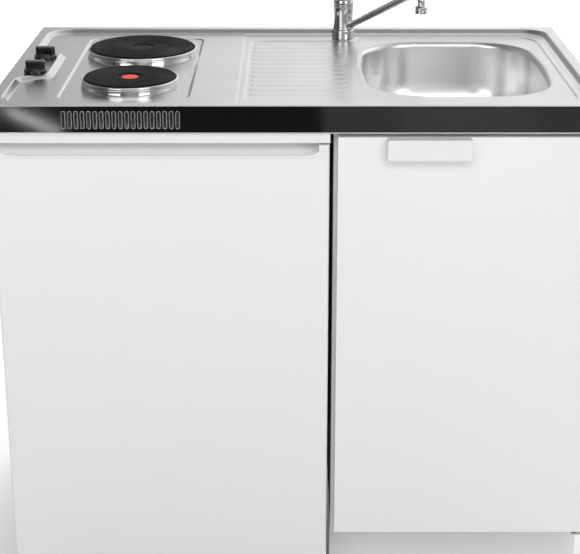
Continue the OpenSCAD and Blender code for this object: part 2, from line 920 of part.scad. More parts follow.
module bottle_trap() {
    socket_end = bowl_y + trap_r + socket_len;
    color("#EDEDED") difference() {
        union() {
            bar(bowl_x, bowl_y, trap_low, trap_top, trap_r);
            bar(bowl_x, bowl_y, trap_top - cut, trap_top + nut_h, tube_r + nut_h / 2);
            translate([bowl_x, bowl_y, pipe_z]) rotate([-90, 0, 0])
                cylinder(h = socket_end - bowl_y, r = pipe_r + trap_t);
        }
        bar(bowl_x, bowl_y, trap_low + trap_t, waste_low + cut, trap_r - trap_t);
        bar(bowl_x, bowl_y, waste_low, trap_top + nut_h + cut, tube_r);
        translate([bowl_x, bowl_y, pipe_z]) rotate([-90, 0, 0])
            cylinder(h = socket_end - bowl_y + cut, r = pipe_r);
    }
}

module waste_pipe() {
    start = bowl_y + trap_r;
    color("#E6E6E6") translate([bowl_x, start, pipe_z]) rotate([-90, 0, 0]) difference() {
        cylinder(h = back_y - pipe_end_gap - start, r = pipe_r);
        translate([0, 0, -cut]) cylinder(h = worktop_d, r = pipe_r - tube_t);
    }
}

// Round plate with two upright slots, and the neck through the bowl's wall
module overflow_grille() {
    color("#BEBEBE") translate([bowl_wall_x, overflow_pos_y, overflow_z])
        rotate([0, 90, 0]) difference() {
            union() {
                translate([0, 0, -grille_t]) cylinder(h = grille_t, r = overflow_dia / 2 + 2);
                cylinder(h = bowl_t + grille_neck, r = overflow_dia / 2 - press_gap);
            }
            cylinder(h = bowl_t + grille_neck + cut, r = overflow_dia / 2 - 2);
            for (s = [-1, 1]) translate([-overflow_r / 2, s * overflow_r / 2 - 1.5, -2 * grille_t])
                cube([overflow_r, 3, 4 * grille_t]);
        }
}

// A quarter bend in the upright plane
module elbow(start) {
    rotate([90, 0, 0]) rotate([0, 0, start]) rotate_extrude(angle = 90)
        translate([elbow_r, 0]) circle(overflow_r);
}

module overflow_pipe() {
    run = [bowl_x - overflow_x, bowl_y - overflow_pos_y];
    color("#E6E6E6") difference() {
        union() {
            translate([overflow_x - elbow_r, overflow_pos_y, overflow_z - elbow_r]) elbow(0);
            bar(overflow_x, overflow_pos_y, overflow_low + elbow_r, overflow_z - elbow_r,
                overflow_r);
            translate([overflow_x, overflow_pos_y, overflow_low])
                rotate([0, 0, atan2(run[1], run[0])]) {
                    translate([elbow_r, 0, elbow_r]) elbow(180);
                    translate([elbow_r, 0, 0]) rotate([0, 90, 0])
                        cylinder(h = norm(run) - elbow_r, r = overflow_r);
                }
        }
        bar(bowl_x, bowl_y, waste_low, bowl_z, tube_r + press_gap);
    }
}

// ---- tap ----

module tap_base() {
    r = tap_base_dia / 2;
    color("#D4D4D8") translate([tap_x, tap_pos_y, deck_z]) difference() {
        union() {
            cylinder(h = tap_base_h - base_round, r = r);
            cylinder(h = tap_base_h, r = r - base_round);
            translate([0, 0, tap_base_h - base_round])
                rotate_extrude() translate([r - base_round, 0]) circle(base_round);
        }
        translate([0, 0, -cut]) cylinder(h = tap_base_h + 2 * cut, r = core_r);
    }
}

// Core above the deck and threaded shank below it
module tap_core() {
    color("#B49A5A") difference() {
        union() {
            bar(tap_x, tap_pos_y, deck_z, joint_z, core_r);
            bar(tap_x, tap_pos_y, deck_z - shank_len, deck_z + cut, shank_r);
        }
        bar(tap_x, tap_pos_y, joint_z - pin_depth - 2, joint_z + cut, turn_pin_r + run_gap);
    }
}

// Turning sleeve with its rising spout and a downturned end
module tap_spout() {
    color("#D8D8DC") translate([tap_x, tap_pos_y, deck_z]) difference() {
        union() {
            translate([0, 0, tap_base_h + free_gap])
                cylinder(h = tap_joint_h - tap_base_h - 2 * free_gap, r = body_r);
            rotate([0, 0, spout_dir]) {
                translate([0, 0, spout_root_h]) rotate([0, 90 - spout_rise, 0])
                    cylinder(h = bend_start_x() / cos(spout_rise), d = spout_dia);
                translate([spout_reach - spout_bend_r, 0, bend_z()]) rotate([90, 0, 0])
                    rotate_extrude(angle = 90 + spout_rise)
                    translate([spout_bend_r, 0]) circle(d = spout_dia);
                translate([spout_reach, 0, bend_z() - spout_drop])
                    cylinder(h = spout_drop, d = spout_dia);
            }
        }
        cylinder(h = tap_joint_h, r = core_r + run_gap);
        cylinder(h = tap_base_h + free_gap, r = body_r + spout_dia);
    }
}

// Where the spout's straight run ends, and the height of its bend's centre
function bend_start_x() = spout_reach - spout_bend_r * (1 + sin(spout_rise));
function bend_z() =
    spout_root_h + bend_start_x() * tan(spout_rise) - spout_bend_r * cos(spout_rise);

module tap_aerator() {
    tip_z = bend_z() - spout_drop;
    color("#D0D0D4") translate([tap_x, tap_pos_y, deck_z]) rotate([0, 0, spout_dir])
        translate([spout_reach, 0, tip_z - aerator_h]) difference() {
            cylinder(h = aerator_h, d = aerator_dia);
            translate([0, 0, -cut]) cylinder(h = aerator_h / 2, d = aerator_dia - 4);
        }
}

// Fixed dome over the joint, open at the top for the lever's stem
module tap_dome() {
    color("#CFCFD4") translate([tap_x, tap_pos_y, 0]) difference() {
        union() {
            bar(0, 0, joint_z, ball_z, body_r);
            intersection() {
                translate([0, 0, ball_z]) sphere(dome_r);
                bar(0, 0, ball_z - cut, ball_z + 2 * dome_r, body_r);
            }
        }
        intersection() {
            translate([0, 0, ball_z]) sphere(dome_r - dome_t);
            bar(0, 0, ball_z, ball_z + dome_r, dome_r);
        }
        bar(0, 0, joint_z - cut, ball_z + cut, fork_out + 2);
        translate([0, 0, ball_z])
            cylinder(h = 2 * dome_r, r1 = 0, r2 = 2 * dome_r * tan(dome_open));
    }
}

// Upright pin with a fork, and the cross pin that the lever tilts on
module tap_spindle() {
    color("#9A9A9E") translate([tap_x, tap_pos_y, 0]) {
        bar(0, 0, joint_z - pin_depth, ball_z - fork_gap, turn_pin_r);
        for (s = [-1, 1])
            translate([s * (boss_half + free_gap + fork_t / 2) - fork_t / 2, -fork_t, ball_z - fork_gap])
                cube([fork_t, 2 * fork_t, fork_gap + fork_t]);
        translate([-fork_out, -fork_t, ball_z - fork_gap - fork_t / 2])
            cube([2 * fork_out, 2 * fork_t, fork_t]);
        translate([-fork_out, 0, ball_z]) rotate([0, 90, 0])
            cylinder(h = 2 * fork_out, r = cross_pin_r);
    }
}

// Boss on the cross pin, stem through the dome, round cap and flat handle
module tap_lever() {
    color("#DADADE") translate([tap_x, tap_pos_y, ball_z]) {
        difference() {
            union() {
                translate([-boss_half, 0, 0]) rotate([0, 90, 0])
                    cylinder(h = 2 * boss_half, r = boss_r);
                translate([-stem_half, -stem_half, 0])
                    cube([2 * stem_half, 2 * stem_half, cap_inner_r + cap_t / 2]);
            }
            translate([-boss_half - cut, 0, 0]) rotate([0, 90, 0])
                cylinder(h = 2 * (boss_half + cut), r = cross_pin_r + run_gap);
        }
        difference() {
            union() {
                intersection() {
                    sphere(cap_r);
                    cylinder(h = 2 * cap_r, r1 = 0, r2 = 2 * cap_r * tan(cap_cover));
                }
                rotate([lever_rise, 0, 0]) translate([0, 0, lever_z]) rotate([180, 0, 0]) lever_plan();
            }
            sphere(cap_inner_r);
        }
    }
}

// Flat handle towards the front, narrower at its round end
module lever_plan() {
    end_r = lever_w / 2 - 2;
    linear_extrude(lever_t) {
        polygon([[-lever_w / 2, 0], [lever_w / 2, 0],
                 [end_r, lever_len - end_r], [-end_r, lever_len - end_r]]);
        translate([0, lever_len - end_r]) circle(end_r);
    }
}

module tap_nut() {
    color("#B0A070") difference() {
        bar(tap_x, tap_pos_y, nut_z - nut_h, nut_z, shank_r + nut_rim);
        bar(tap_x, tap_pos_y, nut_z - nut_h - cut, nut_z + cut, shank_r);
    }
}

module tap_tails() {
    color("#C07A4A") for (s = [-1, 1])
        bar(tap_x + s * tail_pitch / 2, tap_pos_y, deck_z - tail_len, deck_z - shank_len,
            tail_dia / 2);
}

// ---- cabinet ----

module side_board(x) {
    block([x, cab_y0, plinth_h], [x + board_t, cab_y1, cab_z1]);
}

module cabinet_left_side() color("#E9E9E9") side_board(cab_x0);
module cabinet_right_side() color("#E9E9E9") side_board(cab_x1 - board_t);

module cabinet_bottom() {
    color("#E9E9E9") block([cab_in0, cab_y0, plinth_h], [cab_in1, cab_y1, plinth_h + board_t]);
}

module cabinet_back() {
    color("#E2E2E2") difference() {
        block([cab_in0, cab_y1 - back_t, plinth_h + board_t], [cab_in1, cab_y1, cab_z1 - rail_h]);
        translate([bowl_x, cab_y1 - back_t - cut, pipe_z]) rotate([-90, 0, 0])
            cylinder(h = back_t + 2 * cut, d = pipe_hole_dia);
    }
}

module cabinet_rails() {
    color("#E5E5E5") {
        block([cab_in0, cab_y0, cab_z1 - rail_h], [cab_in1, cab_y0 + board_t, cab_z1]);
        block([cab_in0, cab_y1 - board_t, cab_z1 - rail_h], [cab_in1, cab_y1, cab_z1]);
    }
}

module cabinet_plinth() {
    y = cab_y0 + plinth_setback;
    color("#DADADA") block([cab_x0, y, 2], [cab_x1, y + board_t, plinth_h]);
}

module cabinet_feet() {
    front = cab_y0 + plinth_setback + board_t + foot_r + 2;
    color("#222222") for (x = [cab_x0 + foot_in, cab_x1 - foot_in], y = [front, cab_y1 - foot_in]) {
        bar(x, y, 0, foot_pad_h, foot_r);
        bar(x, y, foot_pad_h - cut, plinth_h, foot_r - 6);
        bar(x, y, plinth_h - foot_pad_h, plinth_h, foot_r);
    }
}

module cabinet_door() {
    color("#DFDFDF") difference() {
        block([door_x0, door_front_y, door_z0], [door_x1, door_front_y + door_t, door_z1]);
        bar(door_pin_x, door_pin_y, door_z0 - cut, door_z0 + pin_in, door_pin_r + run_gap);
        bar(door_pin_x, door_pin_y, door_z1 - pin_in, door_z1 + cut, door_pin_r + run_gap);
    }
}

// Shell pull: top, front and two ends, open below for the fingers
module cabinet_handle() {
    x0 = door_x0 + handle_left;
    x1 = x0 + handle_len;
    y0 = door_front_y - handle_d;
    color("#DADADA") difference() {
        translate([x0, 0, 0]) rotate([90, 0, 90]) linear_extrude(handle_len) polygon([
            [door_front_y, door_z1 - handle_h], [y0 + handle_t, door_z1 - handle_h],
            [y0, door_z1 - handle_h + handle_t], [y0, door_z1 - handle_bevel],
            [y0 + handle_bevel, door_z1], [door_front_y, door_z1]]);
        block([x0 + handle_t, y0 + handle_t, door_z1 - handle_h - cut],
              [x1 - handle_t, door_front_y + cut, door_z1 - handle_bevel]);
    }
}

// Each bracket is a plate with a pin, and a tab on the carcass
module cabinet_hinges() {
    x0 = door_pin_x - hinge_w / 2;
    x1 = cab_x1;
    low_top = door_z0 - 1;
    high_low = door_z1 + 2;
    color("#9C9C9C") {
        block([x0, door_front_y + 1, plinth_h - hinge_t], [x1, cab_y0 + hinge_w, plinth_h]);
        bar(door_pin_x, door_pin_y, plinth_h - cut, door_z0 + pin_in - 2, door_pin_r);
        bar(door_pin_x, door_pin_y, plinth_h - cut, low_top, door_pin_r + 2);
        block([x0, door_front_y + 2, high_low], [x1, cab_y0, high_low + hinge_t]);
        block([x0, cab_y0 - hinge_t / 2, high_low], [x1, cab_y0, high_low + hinge_w]);
        bar(door_pin_x, door_pin_y, door_z1 - pin_in + 2, high_low + cut, door_pin_r);
    }
}

// ---- refrigerator ----

// Volume inside the body's skin, less the compressor niche
module fridge_body(inset) {
    difference() {
        block([fridge_x0 + inset, fridge_y0 + inset, fridge_foot_h + inset],
              [fridge_x1 - inset, fridge_y1 - inset, fridge_z1 - inset]);
        block([fridge_x0 - cut, niche_y - inset, fridge_foot_h - cut],
              [fridge_x1 + cut, fridge_y1 + cut, niche_z + inset]);
    }
}

// Food compartment, grown by grow into the foam
module fridge_cave(grow) {
    block([cave_x0 - grow, fridge_y0 - cut, cave_z0 - grow],
          [cave_x1 + grow, step_y + grow, cave_z1 + grow]);
    block([cave_x0 - grow, fridge_y0 - cut, step_z - grow],
          [cave_x1 + grow, cave_y1 + grow, cave_z1 + grow]);
}

module fridge_shell() {
    floor_y = fridge_y1 - niche_d;
    color("#E6E6E6") {
        difference() {
            fridge_body(0);
            fridge_body(skin_t);
            fridge_cave(liner_t);
        }
        block([fridge_x0, floor_y - cut, fridge_foot_h],
              [fridge_x1, fridge_y1, fridge_foot_h + skin_t]);
        for (x = [fridge_x0, fridge_x1 - skin_t])
            block([x, floor_y - cut, fridge_foot_h], [x + skin_t, fridge_y1, niche_z + skin_t]);
    }
}

module fridge_foam() {
    color("#E8DCA8") difference() {
        fridge_body(skin_t);
        fridge_cave(liner_t);
    }
}

module fridge_liner() {
    color("#F4F4F4") {
        difference() {
            intersection() {
                fridge_cave(liner_t);
                block([fridge_x0, fridge_y0, 0], [fridge_x1, fridge_y1, fridge_z1]);
            }
            fridge_cave(0);
        }
        for (i = [0 : shelf_count - 1], side = [0, 1]) {
            x = side == 0 ? cave_x0 - liner_t / 2 : cave_x1 - ledge_w;
            block([x, shelf_y0, shelf_z(i) - ledge_w], [x + ledge_w + liner_t / 2, cave_y1, shelf_z(i)]);
        }
    }
}

// The lowest shelf covers the crisper, and the rest share the height above
function shelf_z(i) =
    crisper_z + (cave_z1 - crisper_z) * i / (shelf_count + (i == 0 ? 0 : 0.25));

module fridge_shelves() {
    color("#BFD8D8", 0.6) for (i = [0 : shelf_count - 1])
        block([cave_x0 + shelf_gap, shelf_y0, shelf_z(i)],
              [cave_x1 - shelf_gap, cave_y1 - shelf_back_gap, shelf_z(i) + shelf_t]);
}

module crisper() {
    w = cave_x1 - cave_x0;
    y1 = step_y - crisper_back_gap;
    color("#DDE8E8", 0.7) difference() {
        block([cave_x0 + crisper_gap, shelf_y0, cave_z0],
              [cave_x1 - crisper_gap, y1, cave_z0 + crisper_h]);
        block([cave_x0 + crisper_gap + crisper_t, shelf_y0 + crisper_t, cave_z0 + crisper_t],
              [cave_x1 - crisper_gap - crisper_t, y1 - crisper_t, cave_z0 + crisper_h + cut]);
        block([cave_x0 + w / 2 - grip_hole_w / 2, shelf_y0 - cut, cave_z0 + crisper_h - 2 * grip_hole_h],
              [cave_x0 + w / 2 + grip_hole_w / 2, shelf_y0 + 2 * crisper_t, cave_z0 + crisper_h - grip_hole_h]);
    }
}

module fridge_trim() {
    color("#E9E9E9") difference() {
        block([fridge_x0, door_front_y + door_side_in, fridge_z1 - trim_h],
              [fridge_x1, fridge_y0, fridge_z1]);
        block([fridge_pin_x - hinge_w, bracket_y() - free_gap, fridge_z1 - trim_h - cut],
              [fridge_x1 - bracket_in + free_gap, fridge_y0 + cut, fridge_z1 - trim_cover]);
    }
}

function bracket_y() = fridge_pin_y - fridge_pin_r - 2;

// Each bracket is a plate with a pin, and a tab against the body's front
module fridge_hinges() {
    x0 = fridge_pin_x - hinge_w + 1;
    x1 = fridge_x1 - bracket_in;
    y0 = bracket_y();
    low = fridge_door_z - free_gap - hinge_t;
    high = fridge_z1 - trim_h + free_gap;
    color("#8C8C8C") {
        block([x0, y0, low], [x1, fridge_y0, low + hinge_t]);
        block([x0, fridge_y0 - hinge_t, fridge_foot_h], [x1, fridge_y0, low + hinge_t]);
        bar(fridge_pin_x, fridge_pin_y, low + hinge_t / 2, fridge_door_z + pin_in, fridge_pin_r);
        block([x0, y0, high], [x1, fridge_y0, high + hinge_t]);
        block([x0, fridge_y0 - hinge_t, high], [x1, fridge_y0, fridge_z1 - trim_cover - free_gap]);
        bar(fridge_pin_x, fridge_pin_y, fdoor_z1 - pin_in, high + hinge_t / 2, fridge_pin_r);
    }
}

module fridge_door_volume(inset) {
    block([fdoor_x0 + inset, door_front_y + inset, fridge_door_z + inset],
          [fdoor_x1 - inset, fridge_door_back - inset, fdoor_z1 - grip_cap_h]);
}

module fridge_pin_hole() {
    bar(fridge_pin_x, fridge_pin_y, fridge_door_z - cut, fridge_door_z + pin_in + 2,
        fridge_pin_r + run_gap);
}

module fridge_door_skin() {
    color("#E2E2E2") difference() {
        block([fdoor_x0, door_front_y, fridge_door_z],
              [fdoor_x1, fridge_door_back, fdoor_z1 - grip_cap_h]);
        block([fdoor_x0 + skin_t, door_front_y + skin_t, fridge_door_z + skin_t],
              [fdoor_x1 - skin_t, fridge_door_back + cut, fdoor_z1]);
        fridge_pin_hole();
    }
}

module fridge_door_foam() {
    color("#E8DCA8") difference() {
        block([fdoor_x0 + skin_t, door_front_y + skin_t, fridge_door_z + skin_t],
              [fdoor_x1 - skin_t, fridge_door_back - liner_t, fdoor_z1 - grip_cap_h]);
        fridge_pin_hole();
    }
}

// Back panel of the door with an upright bank at each side for the racks
module fridge_door_liner() {
    color("#F2F2F2") {
        block([fdoor_x0 + skin_t, fridge_door_back - liner_t, fridge_door_z + skin_t],
              [fdoor_x1 - skin_t, fridge_door_back, fdoor_z1 - grip_cap_h]);
        for (x = [dyke_x0, dyke_x1 - dyke_w])
            block([x, fridge_door_back - liner_t / 2, cave_z0 + dyke_gap],
                  [x + dyke_w, fridge_y0 + dyke_d, cave_z1 - dyke_gap]);
    }
}

// Moulding along the door's top, hollowed into a scoop for the fingers
module fridge_door_grip() {
    z0 = fdoor_z1 - grip_cap_h;
    color("#DCDCDC") difference() {
        block([fdoor_x0, door_front_y, z0], [fdoor_x1, fridge_door_back, fdoor_z1]);
        translate([fdoor_x0 + scoop_in, door_front_y, fdoor_z1 + scoop_r - scoop_d])
            rotate([0, 90, 0])
            cylinder(h = fdoor_x1 - fdoor_x0 - 2 * scoop_in, r = scoop_r);
        bar(fridge_pin_x, fridge_pin_y, fdoor_z1 - pin_in - 2, fdoor_z1 + cut,
            fridge_pin_r + run_gap);
    }
}

module fridge_gasket() {
    x0 = fdoor_x0 + 4;
    x1 = fridge_pin_x - 1;
    z0 = fridge_door_z + 6;
    z1 = fdoor_z1 - 8;
    color("#CFCFCF") difference() {
        block([x0, fridge_door_back, z0], [x1, fridge_y0 - free_gap, z1]);
        block([x0 + gasket_w, fridge_door_back - cut, z0 + gasket_w],
              [x1 - gasket_w, fridge_y0 + cut, z1 - gasket_w]);
    }
}

module fridge_door_racks() {
    y0 = fridge_door_back;
    color("#E6EEEE", 0.8) for (i = [0 : rack_count - 1]) {
        z = rack_z(i);
        difference() {
            block([rack_x0, y0, z], [rack_x1, rack_y1, z + rack_h]);
            block([rack_x0 + rack_t, y0 + rack_t, z + rack_t],
                  [rack_x1 - rack_t, rack_y1 - rack_t, z + rack_h + cut]);
        }
    }
}

function rack_z(i) = cave_z0 + 2 * dyke_gap + (cave_z1 - cave_z0 - 4 * dyke_gap) * i / rack_count;

module thermostat_housing() {
    x1 = cave_x1;
    color("#F0F0F0") difference() {
        block([x1 - thermo_w, shelf_y0 + thermo_back, cave_z1 - thermo_h],
              [x1, shelf_y0 + thermo_back + thermo_d, cave_z1]);
        translate([x1 - thermo_w / 2, shelf_y0, cave_z1 - thermo_h / 2]) rotate([-90, 0, 0])
            cylinder(h = thermo_back + dial_shaft, r = dial_shaft_r + run_gap);
    }
}

module thermostat_dial() {
    face = shelf_y0 + thermo_back;
    color("#D0D0D0") translate([cave_x1 - thermo_w / 2, face, cave_z1 - thermo_h / 2])
        rotate([-90, 0, 0]) {
            translate([0, 0, -dial_t - free_gap]) cylinder(h = dial_t, r = dial_r);
            translate([0, 0, -free_gap - cut])
                cylinder(h = dial_shaft - 1 + free_gap, r = dial_shaft_r);
            translate([-dial_r, -2, -dial_t - free_gap - 5]) cube([2 * dial_r, 4, 6]);
        }
}

module compressor() {
    r = compressor_dia / 2;
    x = (fridge_x0 + fridge_x1) / 2;
    y = niche_y + niche_d / 2;
    z = fridge_foot_h + skin_t;
    color("#1C1C1C") {
        bar(x, y, z + compressor_leg, z + compressor_leg + compressor_h - r / 3, r);
        bar(x, y, z + compressor_leg, z + compressor_leg + compressor_h, r * 0.8);
        translate([x, y, z + compressor_leg + compressor_h - r / 3]) rotate_extrude()
            translate([r * 0.8, 0]) circle(r * 0.2);
        for (a = [45 : 90 : 315])
            bar(x + 0.8 * r * cos(a), y + 0.8 * r * sin(a), z, z + compressor_leg + cut, compressor_foot_r);
    }
}

module fridge_feet() {
    color("#2A2A2A")
        for (x = [fridge_x0 + foot_in, fridge_x1 - foot_in], y = [fridge_y0 + foot_in, fridge_y1 - foot_in]) {
            bar(x, y, 0, foot_disc_h, foot_r);
            bar(x, y, foot_disc_h / 2, fridge_foot_h, foot_r / 2);
        }
}

worktop();
sink_bowl();
front_fascia();
rear_hotplate();
front_hotplate();
rear_hotplate_ring();
front_hotplate_ring();
rapid_marker();
hotplate_clamps();
rear_regulator();
front_regulator();
rear_spindle();
front_spindle();
rear_knob();
front_knob();
terminal_box();
mains_gland();
waste_flange();
strainer();
bottle_trap();
waste_pipe();
overflow_grille();
overflow_pipe();
tap_base();
tap_core();
tap_spout();
tap_aerator();
tap_dome();
tap_spindle();
tap_lever();
tap_nut();
tap_tails();
cabinet_left_side();
cabinet_right_side();
cabinet_bottom();
cabinet_back();
cabinet_rails();
cabinet_plinth();
cabinet_feet();
cabinet_door();
cabinet_handle();
cabinet_hinges();
fridge_shell();
fridge_foam();
fridge_liner();
fridge_trim();
fridge_door_skin();
fridge_door_foam();
fridge_door_liner();
fridge_door_grip();
fridge_gasket();
fridge_door_racks();
fridge_hinges();
fridge_shelves();
crisper();
thermostat_housing();
thermostat_dial();
compressor();
fridge_feet();
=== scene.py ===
import json
import math
import bmesh
import bpy
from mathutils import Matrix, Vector

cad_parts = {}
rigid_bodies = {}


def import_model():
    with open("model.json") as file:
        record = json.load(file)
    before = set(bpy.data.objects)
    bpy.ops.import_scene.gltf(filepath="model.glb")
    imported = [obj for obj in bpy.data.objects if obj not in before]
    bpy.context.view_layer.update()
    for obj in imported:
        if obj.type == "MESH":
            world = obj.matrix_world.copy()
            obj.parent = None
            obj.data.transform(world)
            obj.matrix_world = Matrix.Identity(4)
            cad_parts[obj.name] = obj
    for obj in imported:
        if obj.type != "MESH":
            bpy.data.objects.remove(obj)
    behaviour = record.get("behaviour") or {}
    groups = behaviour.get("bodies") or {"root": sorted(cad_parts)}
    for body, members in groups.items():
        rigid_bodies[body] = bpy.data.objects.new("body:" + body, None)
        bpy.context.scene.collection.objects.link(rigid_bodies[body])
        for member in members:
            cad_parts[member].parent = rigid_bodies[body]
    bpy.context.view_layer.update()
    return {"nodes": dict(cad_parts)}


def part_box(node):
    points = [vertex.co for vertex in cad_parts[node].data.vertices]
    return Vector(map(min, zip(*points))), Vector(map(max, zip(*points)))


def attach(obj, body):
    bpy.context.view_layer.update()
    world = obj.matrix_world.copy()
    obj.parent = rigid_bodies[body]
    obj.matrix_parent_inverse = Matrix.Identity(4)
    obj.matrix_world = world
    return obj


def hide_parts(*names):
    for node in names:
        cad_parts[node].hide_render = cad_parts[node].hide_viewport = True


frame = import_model()
mm = 0.001

# the worktop's edges and rim, from the frame
topLow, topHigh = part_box("worktop")
leftX, rightX = topLow.x, topHigh.x
frontY, backY = topLow.y, topHigh.y
rimZ = topHigh.z


def stageDone(words):
    print("kitchenette:", words)


def clearSelection():
    if bpy.context.object and bpy.context.object.mode != "OBJECT":
        bpy.ops.object.mode_set(mode="OBJECT")
    bpy.ops.object.select_all(action="DESELECT")


def choose(piece):
    clearSelection()
    piece.select_set(True)
    bpy.context.view_layer.objects.active = piece


def enterEdit():
    bpy.ops.object.mode_set(mode="EDIT")


def leaveEdit():
    bpy.ops.object.mode_set(mode="OBJECT")


def editPiece(piece):
    choose(piece)
    enterEdit()


def selectAll():
    bpy.ops.mesh.select_all(action="SELECT")


def pick(kind, test):
    # select the vertices, edges or faces of the piece in edit mode that pass the test
    bpy.ops.mesh.select_mode(type=kind)
    bpy.ops.mesh.select_all(action="DESELECT")
    mesh = bpy.context.object.data
    shape = bmesh.from_edit_mesh(mesh)
    for item in {"VERT": shape.verts, "EDGE": shape.edges, "FACE": shape.faces}[kind]:
        if test(item):
            item.select_set(True)
    bmesh.update_edit_mesh(mesh)


def extrude(move):
    bpy.ops.mesh.extrude_region_move(TRANSFORM_OT_translate={"value": move})


def extrudeEdges(move):
    bpy.ops.mesh.extrude_edges_move(TRANSFORM_OT_translate={"value": move})


def faceOutward():
    selectAll()
    bpy.ops.mesh.normals_make_consistent(inside=False)
    if bmesh.from_edit_mesh(bpy.context.object.data).calc_volume(signed=True) < 0:
        bpy.ops.mesh.flip_normals()


def middle(edge):
    return (edge.verts[0].co + edge.verts[1].co) / 2


def setOrigin(piece):
    choose(piece)
    bpy.ops.object.transform_apply(location=True, rotation=True, scale=True)


def join(pieces, name):
    choose(pieces[0])
    for piece in pieces:
        piece.select_set(True)
    bpy.ops.object.join()
    pieces[0].name = name
    return pieces[0]


def applyModifier(piece, kind, **settings):
    choose(piece)
    modifier = piece.modifiers.new(kind.lower(), kind)
    for key, value in settings.items():
        setattr(modifier, key, value)
    bpy.ops.object.modifier_apply(modifier=modifier.name)


def smooth(piece, angle=35):
    choose(piece)
    bpy.ops.object.shade_smooth_by_angle(angle=math.radians(angle))


def weighted(piece, angle=50):
    smooth(piece, angle)
    applyModifier(piece, "WEIGHTED_NORMAL", mode="FACE_AREA", weight=80, keep_sharp=True)


def dress(piece, body, material, slotName, *nodes):
    # what every new piece gets: its finish, the body it rides on and the nodes it stands for
    piece.data.materials.clear()
    piece.data.materials.append(material)
    setOrigin(piece)
    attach(piece, body)
    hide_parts(*nodes)
    return piece


# drawing and pressing

def drawOutline(name, points, z, corners, segments=8):
    # a flat face through the points, each corner rounded by its own radius
    clearSelection()
    bpy.ops.mesh.primitive_plane_add(size=0.01, location=(points[0][0], points[0][1], z))
    piece = bpy.context.object
    piece.name = name
    enterEdit()
    bpy.ops.mesh.select_mode(type="VERT")
    selectAll()
    bpy.ops.mesh.merge(type="CENTER")
    for a, b in zip(points, points[1:]):
        step = (b[0] - a[0], b[1] - a[1], 0)
        bpy.ops.mesh.extrude_vertices_move(TRANSFORM_OT_translate={"value": step})
    leaveEdit()
    setOrigin(piece)
    enterEdit()
    ends = (Vector(points[0]), Vector(points[-1]))
    pick("VERT", lambda v: min((v.co.xy - end).length for end in ends) < 1e-5)
    bpy.ops.mesh.edge_face_add()
    selectAll()
    bpy.ops.mesh.edge_face_add()
    for radius in sorted(set(corners)):
        if radius <= 0:
            continue
        here = [Vector(p) for p, r in zip(points, corners) if r == radius]
        turn = [cornerTurn(points, i) for i, r in enumerate(corners) if r == radius][0]
        pick("VERT", lambda v: any((v.co.xy - p).length < 1e-5 for p in here))
        bpy.ops.mesh.bevel(offset_type="OFFSET", offset=radius * math.tan(turn / 2),
                           segments=segments, affect="VERTICES", clamp_overlap=False)
    bpy.ops.mesh.select_mode(type="FACE")
    selectAll()
    bpy.ops.mesh.normals_make_consistent(inside=False)
    shape = bmesh.from_edit_mesh(piece.data)
    if next(iter(shape.faces)).normal.z < 0:
        bpy.ops.mesh.flip_normals()
    return piece


def cornerTurn(points, i):
    a = Vector(points[i]) - Vector(points[i - 1])
    b = Vector(points[(i + 1) % len(points)]) - Vector(points[i])
    return abs(a.angle_signed(b))


def pressSteps(steps):
    # inset the selected face again and again: each step is (inwards, upwards)
    for inward, up in steps:
        bpy.ops.mesh.inset(thickness=inward, depth=up)


def softStep(width, rise, count=6):
    # an S between two flats, with a narrow flat ring at each end that holds the shading
    s = [0.5 - 0.5 * math.cos(math.pi * i / count) for i in range(count + 1)]
    rings = [(width / count, rise * (s[i + 1] - s[i])) for i in range(count)]
    return [(0.4 * mm, 0)] + rings + [(0.4 * mm, 0)]


def quarterRound(radius, count, over, up=-1):
    # over: from flat over an edge and down; otherwise from a wall into a floor, or up to a top
    angles = [math.pi / 2 * i / count for i in range(count + 1)]
    if over:
        return [(radius * (math.sin(b) - math.sin(a)), radius * (math.cos(b) - math.cos(a)))
                for a, b in zip(angles, angles[1:])]
    return [(radius * (math.cos(a) - math.cos(b)), up * radius * (math.sin(b) - math.sin(a)))
            for a, b in zip(angles, angles[1:])]


def openFace():
    bpy.ops.mesh.delete(type="ONLY_FACE")
    leaveEdit()
    return bpy.context.object


def boxPoints(x0, x1, y0, y1):
    return [(x0, y0), (x1, y0), (x1, y1), (x0, y1)]


def ring(name, x, y, z, radius, steps=(), count=48):
    # a round opening; the steps press its middle before it is taken out
    clearSelection()
    bpy.ops.mesh.primitive_circle_add(vertices=count, radius=radius, fill_type="NGON",
                                      location=(x, y, z))
    piece = bpy.context.object
    piece.name = name
    setOrigin(piece)
    enterEdit()
    selectAll()
    pressSteps(steps)
    return piece


def drawPath(name, points):
    # an open line through the points, in edit mode with everything selected
    clearSelection()
    bpy.ops.mesh.primitive_plane_add(size=0.001, location=points[0])
    piece = bpy.context.object
    piece.name = name
    enterEdit()
    bpy.ops.mesh.select_mode(type="VERT")
    selectAll()
    bpy.ops.mesh.merge(type="CENTER")
    for a, b in zip(points, points[1:]):
        bpy.ops.mesh.extrude_vertices_move(TRANSFORM_OT_translate={"value": Vector(b) - Vector(a)})
    leaveEdit()
    setOrigin(piece)
    enterEdit()
    selectAll()
    return piece


def lathe(name, x, y, profile, count=64, angle=30):
    # a round piece: its half section, as (radius, height) from the axis up, turned about the upright at x, y
    piece = drawPath(name, [(x + r, y, z) for r, z in profile])
    bpy.ops.mesh.spin(steps=count, angle=2 * math.pi, center=(x, y, 0), axis=(0, 0, 1))
    selectAll()
    bpy.ops.mesh.remove_doubles(threshold=1e-6)
    bpy.ops.mesh.normals_make_consistent(inside=False)
    leaveEdit()
    smooth(piece, angle)
    return piece


